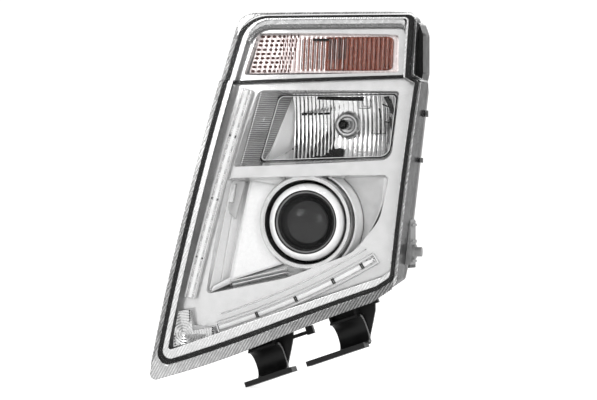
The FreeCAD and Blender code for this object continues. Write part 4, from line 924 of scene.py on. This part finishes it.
def build_mirror_step_shade():
    """Painted shade: dark ribbons between the dish's strips, wider towards the bottom and uneven."""
    vertices, faces = [], []

    def ribbon(x, z_from, z_to, wide, phase):
        start, steps = len(vertices), 28
        for i in range(steps + 1):
            z = z_from + (z_to - z_from) * i / steps
            lean = strip_lean(z) if x < STRIPS_RIGHT else 0
            uneven = 0.65 + 0.35 * math.sin(z * 0.33 + phase) * math.sin(z * 0.11 + 2 * phase)
            half = max(wide(z) * uneven, 0.15) / 2
            for side in (-half, half):
                at = x + lean + side
                vertices.append((at, dish_y(at, z) - 1.7, z))
        faces.extend(quads(steps + 1, 2, start=start))

    def lower(z):
        return 0.55 + 2.6 * min(max((296 - z) / 14, 0), 1)

    pitch = (STRIPS_RIGHT - STRIPS_LEFT) / STRIPS
    for k in range(STRIPS + 1):
        ribbon(STRIPS_LEFT + pitch * k, 248.5, 335 - (k * 7 % 4) * 6, lower, 1.3 * k)
    for k in range(6):
        ribbon(127 + 3.3 * k, 262 + (k % 4) * 11, 332 - (k % 3) * 14, lambda z: 0.45, 2.1 * k)
    thicken(piece("beam_step_shade", vertices, faces, "mirror_dark", CARRIER), 0.3)


def block(name, corners, y_front, deep, look, soft):
    """A slab on the carrier with a polygon for its front."""
    vertices, faces = [], []
    add_stack(vertices, faces, [[(x, y, z) for x, z in corners] for y in (y_front + deep, y_front)])
    soften(piece(name, vertices, faces, look, CARRIER, sharp=30), soft)


def build_mirror_marks():
    """Black marks inside the high beam: dark reflections in its mirror, painted as black slabs."""
    bar = [(61, 328.6), (92, 326.8), (121, 326.2), (122, 331.2), (90, 331.8), (63, 333)]
    shade = [(72, 253), (91, 256), (92.5, 266), (85, 268), (84, 267), (72.5, 266)]
    fringe = [(22, 247.6), (60, 248.2), (128, 250.6), (150, 252.4), (120, 253), (92, 256),
              (72, 262), (66, 257), (58, 258.5), (47, 252.5), (36, 254), (24, 250)]
    block("beam_reflection_bar", bar, 17, 4, "black_strip", 0.3)
    block("beam_reflection_block", shade, 33, 7, "black_strip", 0.3)
    block("beam_fringe", fringe, 28, 2, "black_strip", 0.15)
    for k, (low, high) in enumerate(((31, 37.5), (39.5, 45), (47, 50.5), (52, 58.5), (60, 68))):
        z = 309.6 + 0.2 * k
        dash = [(low, z), (high, z + 0.2), (high, z + 3), (low, z + 2.8)]
        block(f"beam_dash_{k}", dash, 57, 2, "black_strip", 0.2)
    # Painted reflection: dark blade shapes in the outboard part of the dish.
    blades = [
        [(139, 332), (144, 333), (150, 322), (152, 309), (148, 312), (145, 320)],
        [(148, 333), (156, 333), (161, 316), (162, 300), (157, 305), (155, 318)],
        [(146, 308), (149, 306), (151, 292), (153, 281), (150, 284), (147, 296)],
        [(154, 303), (160, 300), (159, 286), (155, 272), (154, 284), (156, 293)],
        [(132, 318), (134, 318), (136, 306), (134.5, 305)],
        [(140, 300), (147, 299), (147, 300.6), (140, 302)],
        [(137, 322), (148, 318), (148, 319.5), (137, 324)],
        [(149, 277), (151.5, 276), (151, 262), (149.5, 266)],
    ]
    for k, corners in enumerate(blades):
        block(f"beam_reflection_blade_{k}", corners, dish_y(148, 300) - 6, 1.5, "mirror_dark", 0.15)
    line = 0.7
    frames = [((103, 318), (118, 333)), ((120, 286), (131, 312)), ((133, 286), (139, 300))]
    for k, ((x0, z0), (x1, z1)) in enumerate(frames):
        y = dish_y((x0 + x1) / 2, (z0 + z1) / 2) - 4
        spans = ((x0, x1, z0, z0 + line), (x0, x0 + line, z0, z1), (x1 - line, x1, z0, z1))
        for side, (west, east, low, high) in enumerate(spans):
            corners = [(west, low), (east, low), (east, high), (west, high)]
            block(f"beam_frame_{k}{side}", corners, y, 0.8, "mirror_dark", 0.1)


def build_box_walls():
    """Top, bottom and right walls of the reflector's box."""
    x_left, x_right, z_low, z_high, mouth = 0, 168.5, 246.4, 338.8, 14
    xs = [x_left + (x_right - x_left) * k / 24 for k in range(25)]
    zs = [z_low + (z_high - z_low) * k / 16 for k in range(17)]
    for name, z in (("beam_floor", z_low), ("beam_ceiling", z_high)):
        rear = [(x, max(dish_y(x, z), mouth + 1), z) for x in xs]
        loft(name, [(x, mouth, z) for x in xs], rear, "reflector_mirror", 4, body=CARRIER)
    rear = [(x_right - 2.5, dish_y(x_right, z), z) for z in zs]
    loft("beam_right_wall", [(x_right, mouth, z) for z in zs], rear, "reflector_mirror", 6,
         body=CARRIER)


def build_beam_bulb():
    lathe("beam_bulb_ring", [(9.5, 74), (9.5, 70.5), (11, 69), (13.2, 69), (14.6, 70.5), (16.4, 71.5),
                             (16.4, 76), (12.6, 76)], HIGH_X, HIGH_Z, "steel_zinc", CARRIER)
    lathe("beam_bulb_tip", [(0.2, 42.9), (2.6, 43.3), (4.6, 44.7), (5.9, 47.2), (6.25, 49.5),
                            (6.25, 55.5), (6.1, 55.5), (5.8, 49.5), (0.2, 44.2)],
          HIGH_X, HIGH_Z, "black_strip", CARRIER, 48)


# ---- turn signal

SIGNAL_FOOT, SIGNAL_TOP = (-19, 359), (-6, 411)
SIGNAL_DEPTH = 24.0
SIGNAL_LOW, SIGNAL_HIGH = SIGNAL_FOOT[1] + 1.2, SIGNAL_TOP[1] - 1.8
SIGNAL_LEAN = (SIGNAL_TOP[0] - SIGNAL_FOOT[0]) / (SIGNAL_TOP[1] - SIGNAL_FOOT[1])
AMBER_LEFT, AMBER_RIGHT = 81.5, AMBER_HIGH.x - 0.5
AMBER_FOOT, AMBER_TOP = AMBER_LOW.z + 0.5, AMBER_HIGH.z - 0.5
AMBER_PITCH, AMBER_CORNER = 5.6, 9
AMBER_DEPTH = SIGNAL_DEPTH + 1.6


def signal_left(z):
    """Inboard edge of the window at a height."""
    return SIGNAL_FOOT[0] + 2.2 + (z - SIGNAL_FOOT[1]) * SIGNAL_LEAN


def build_signal():
    """The silvered reflector in upright waves, with its studs, the amber optic and the brow."""
    right, depth = 172.5, SIGNAL_DEPTH + 2.5

    def point(u, v):
        z = SIGNAL_LOW + (SIGNAL_HIGH - SIGNAL_LOW) * v
        x = signal_left(z) + (right - signal_left(z)) * u
        return x, face_y(x, z, depth) - 0.5 * abs(math.sin(math.pi * x / 6)), z

    mirror = sheet("signal_mirror", grid_of(20, 260, point), "signal_silver", HOUSING, 0.5, sharp=28)
    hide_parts("signal_reflector")
    build_studs()
    build_amber()
    build_brow()


def build_studs():
    """Dark studs of the reflector's pillow optics, which thin out towards the middle."""
    vertices, faces = [], []
    turns = [math.tau * (k + 0.5) / 8 for k in range(8)]
    for column, along in enumerate((4.2, 11.4, 18.6, 25.6, 31.6, 36.4, 40.8, 45, 49.5)):
        wide, tall = (max(3 - 0.22 * column, 2.2), 1.9) if column < 5 else (1, 2.4)
        for line in range(9):
            z = SIGNAL_LOW + 2.9 + 5.4 * line
            x = signal_left(z) + along + 0.4 * math.sin(2.3 * line + column)
            y = face_y(x, z, SIGNAL_DEPTH + 2)
            add_stack(vertices, faces, [
                [(x + wide * share * math.cos(t), y - out, z + tall * share * math.sin(t)) for t in turns]
                for share, out in ((1, 0), (0.8, 0.7), (0.4, 1.1))])
    piece("signal_studs", vertices, faces, "smoked")


def upright_ribs(name, places, wide, high, depth, trims, look):
    """Upright rounded ribs at places along X, a depth behind the lens and short of its ends."""
    vertices, faces = [], []
    z_from, z_to = AMBER_FOOT + trims[0], AMBER_TOP - trims[1]
    turns = [math.pi * (1 - k / 8) for k in range(9)]
    for x in places:
        levels = [z_from + (z_to - z_from) * i / 6 for i in range(7)]
        add_stack(vertices, faces, [
            [(x + wide / 2 * math.cos(t), face_y(x, z, depth) - high * math.sin(t), z) for t in turns]
            for z in levels])
    piece(name, vertices, faces, look)


def evenly(start, pitch, count):
    return [start + pitch * k for k in range(count)]


def build_amber():
    """The amber optic, fluted upright with rounded outboard corners, and what stands before it."""
    flutes = round((AMBER_RIGHT - AMBER_LEFT) / AMBER_PITCH)

    def point(u, v):
        x = AMBER_LEFT + (AMBER_RIGHT - AMBER_LEFT) * u
        inward = max(0, x - (AMBER_RIGHT - AMBER_CORNER))
        trim = AMBER_CORNER - math.sqrt(max(AMBER_CORNER ** 2 - inward ** 2, 0))
        z = AMBER_FOOT + trim * 0.6 + (AMBER_TOP - AMBER_FOOT - trim * 1.2) * v
        wave = abs(math.sin(math.pi * (x - AMBER_LEFT) / AMBER_PITCH))
        return x, face_y(x, z, AMBER_DEPTH) - 1.8 * wave, z

    optic = sheet("amber_flutes", grid_of(24, flutes * 10, point), "amber_optic", sharp=50)
    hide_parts("signal_amber_optic")
    # Painted shade: darker ribs fill the grooves between the flutes.
    grooves = evenly(AMBER_LEFT + AMBER_PITCH, AMBER_PITCH, flutes - 1)
    deep, front = AMBER_DEPTH, SIGNAL_DEPTH
    for name, places, wide, high, depth, trims, look in (
            ("amber_grooves", grooves, 1.1, 0.35, deep - 0.2, (1, 1), "amber_dark"),
            ("amber_ribs", evenly(53, AMBER_PITCH, 6), 2.3, 0.9, deep, (0, 0), "amber_optic"),
            ("amber_rib_lines", evenly(50.2, AMBER_PITCH, 7), 0.8, 1.1, deep, (2, 2), "smoked"),
            ("amber_threads", evenly(26, 5.4, 5), 0.7, 0.5, deep, (0, 0), "amber_optic"),
            ("amber_lines", evenly(86.5, AMBER_PITCH, 14), 0.7, 0.5, front, (2, 2), "smoked"),
            ("signal_blades", (85, 90.5, 96.4, 99.5, 105), 2.4, 0.8, front, (14, 1), "smoked"),
            ("signal_glints", (88, 93.5, 102.2), 0.8, 0.6, front - 0.3, (2, 3), "signal_silver")):
        upright_ribs(name, places, wide, high, depth, trims, look)

    vertices, faces = [], []
    middle, half = (74, 401.8), (10, 1.4)
    corners = [(middle[0] + a * half[0], middle[1] + c * half[1]) for a, c in SQUARE]
    add_stack(vertices, faces, [[(x, face_y(x, z, depth), z) for x, z in corners]
                                for depth in (front + 1, front - 1.5)])
    soften(piece("signal_bar", vertices, faces, "black_strip"), 0.4)


def build_brow():
    """The cove above the turn signal's window, which turns up towards the lens."""
    top_side, radii, sides = 5, [9, 20, 6, 4, 4, 7], [21, 17, 11, 11, 15]
    counts, rise = [8, 8, 8, 8, 8, 90, 8], 4.4
    first = sum(counts[:top_side]) + BEND_STEPS * top_side
    last = first + BEND_STEPS + counts[top_side] + BEND_STEPS
    outer = smooth_ring(inset(LENS_OUTLINE, sides + [6.2, 10.6]), radii + [34], counts)[first:last]
    lower = smooth_ring(inset(LENS_OUTLINE, sides + [18.8, 22]), radii + [26], counts)[first:last]
    # Painted shade: the foot of the cove is darker than its upper part.
    for name, look, start, end, steps in (("signal_brow", "brow_light", 0, 0.62, 9),
                                          ("signal_brow_foot", "brow_dark", 0.62, 1, 6)):
        rows = []
        for k in reversed(range(steps + 1)):
            share = start + (end - start) * k / steps
            points = [mix(a, b, share) for a, b in zip(outer, lower)]
            rows.append([(x, face_y(x, z, 16.6) - 5 + rise * share ** 2, z) for x, z in points])
        sheet(name, rows, look, HOUSING, 0.6, sharp=50)


# ---- low beam's well


def circle_row(radius, start, end, y):
    """Points at one Y on a circle about the projector's axis, between two angles in degrees."""
    turns = [math.radians(start + (end - start) * k / (ROW_POINTS - 1)) for k in range(ROW_POINTS)]
    return [(LOW_X + radius * math.cos(turn), y, LOW_Z + radius * math.sin(turn)) for turn in turns]


def build_well():
    """The facets, blades and coves of the well around the projector's collar."""
    look, ring = "facet_white", COLLAR_RADIUS + 0.6
    upper, lower = (-14.5, -17, 227.5), (-42, -17, 101.5)
    scoop_edge = ((-33, -14, 227), (-54, -20, 97))
    loft("well_facet", (upper, lower), circle_row(ring, 128, 240, -15), look, 10)
    loft("well_facet_top", (upper, (12, -16, 229.5)), circle_row(ring, 128, 100, -15), look, 6)
    loft("well_scoop", (upper, lower), scoop_edge, look, 10, 12)
    loft("well_left_wall", ((-35.2, -31, 227), (-65, -31, 89)), scoop_edge, look)
    belly = [(x - 9 * math.sin(math.pi * k / (ROW_POINTS - 1)), y, z) for k, (x, y, z)
             in enumerate(line_row((-45, -24, 172), (-57, -16, 106)))]
    loft("well_left_blade", belly, ((-34, -6, 182), (-46, -6, 104)), look, 8, 4)
    loft("well_niche", ((-34, -30, 227), (-45, -30, 190)),
         ((-22, -14, 226), (-35, -14, 178)), "well_satin", 8, 2)
    loft("well_niche_lip", ((-38, -30.5, 222), (-43, -30.5, 200)),
         ((-31, -24, 223), (-35, -24, 199)), "collar_grey", 4)

    loft("well_sill", (lower, (28, -15, 117)), ((-44, 2, 94), (33, 2, 112)), look, 8,
         lambda u, v: 5 * math.sin(math.pi * v) * (1 - 0.6 * u))
    loft("well_sill_blade", ((-38, -22, 97.5), (30, -22, 112.5)),
         ((-40, -8, 93.5), (38, -8, 113)), "well_chrome", 6,
         lambda u, v: 3 * math.sin(math.pi * v) * math.sin(math.pi * u))
    loft("well_strut", ((-63, -30, 88), (-60, -30, 95)),
         ((-41, -14, 99), (-41.5, -14, 106)), look, 6,
         lambda u, v: -1.5 * math.sin(math.pi * u))
    loft("well_lower_cove", circle_row(ring, 242, 300, -15), circle_row(ring + 13, 246, 302, -3),
         look, 8, 4)

    loft("well_right_wall", circle_row(ring + 3.5, 82, -44, -21),
         circle_row(ring + 9.5, 82, -44, -2), look, 8, 3)
    loft("well_right_collar", circle_row(ring, 100, -60, -9),
         circle_row(ring + 4, 100, -60, -20), look, 8, 2)
    upper_right = line_row((163, -22, 232.5), (155, -22, 172))
    lower_right = line_row((155, -22, 172), (116, -22, 138))
    right_edge = [mix(a, b, k / (ROW_POINTS - 1))
                  for k, (a, b) in enumerate(zip(upper_right, lower_right))]
    loft("well_right_panel", circle_row(ring + 10, 62, -44, -4), right_edge, "well_satin", 10, 3)


def build_projector():
    """The rings around the projector's glass, and its speckled disc behind it."""
    for name, look, body, profile in (
            ("collar_lip", "collar_grey", HOUSING,
             [(52.7, -26.2), (54, -28), (57.2, -28), (59.2, -25.6), (59.4, -14), (58.7, -14),
              (58.7, -24), (52.7, -24)]),
            ("projector_inner_disc", "disc_speckled", CARRIER,
             [(0.3, -15), (26, -17.5), (26, -16), (0.3, -13.6)]),
            ("projector_lens_seat", "barrel_black", CARRIER,
             [(26.2, -15.5), (30, -17.5), (38.8, -26), (39.7, -26.8), (39.7, -24.6),
              (38.2, -23.4), (29.6, -15.4), (26.2, -14.2)]),
            ("projector_lens_band", "ring_bright", CARRIER,
             [(39.8, -24.6), (39.8, -26.8), (40.6, -27.3), (41.8, -26.8), (47.2, -21.4),
              (48.1, -20), (48.1, -17.4), (46.4, -17.4)]),
            # Painted highlight: a thin grey ring on the rim of the lens.
            ("projector_rim_highlight", "knob_grey", CARRIER,
             [(36, -22.8), (36.4, -24.2), (37.2, -25), (37.9, -25.4), (37.6, -24.2),
              (36.8, -22.8)]),
            ("collar_lining", "barrel_black", HOUSING,
             [(51.4, -17), (52.4, -26), (52.55, -26), (52.55, 4), (51.4, 4)])):
        lathe(name, profile, LOW_X, LOW_Z, look, body)


add_cad_looks()
add_piece_looks()
build_studio()
area_light("key", (-1.2, -2.2, 1.7), (0.04, 0, 0.2), (1.2, 1.2), 30)
area_light("fill", (1.8, -1.8, 0.8), (0.04, 0, 0.2), (0.8, 1.4), 14)
area_light("rear", (0.6, 2.4, 1.6), (0.04, 0.1, 0.2), (1.4, 1), 26)
dark_card("card_left", -72, 0.9)
dark_card("card_right", 78, 1.1)
build_camera()
scene.view_settings.view_transform = "Standard"
dress_nodes()
build_lens_edges()
build_seal()
build_foot_rib_highlights()
build_guides()
build_window()
build_beam_mirror()
build_beam_bulb()
build_signal()
build_well()
build_projector()
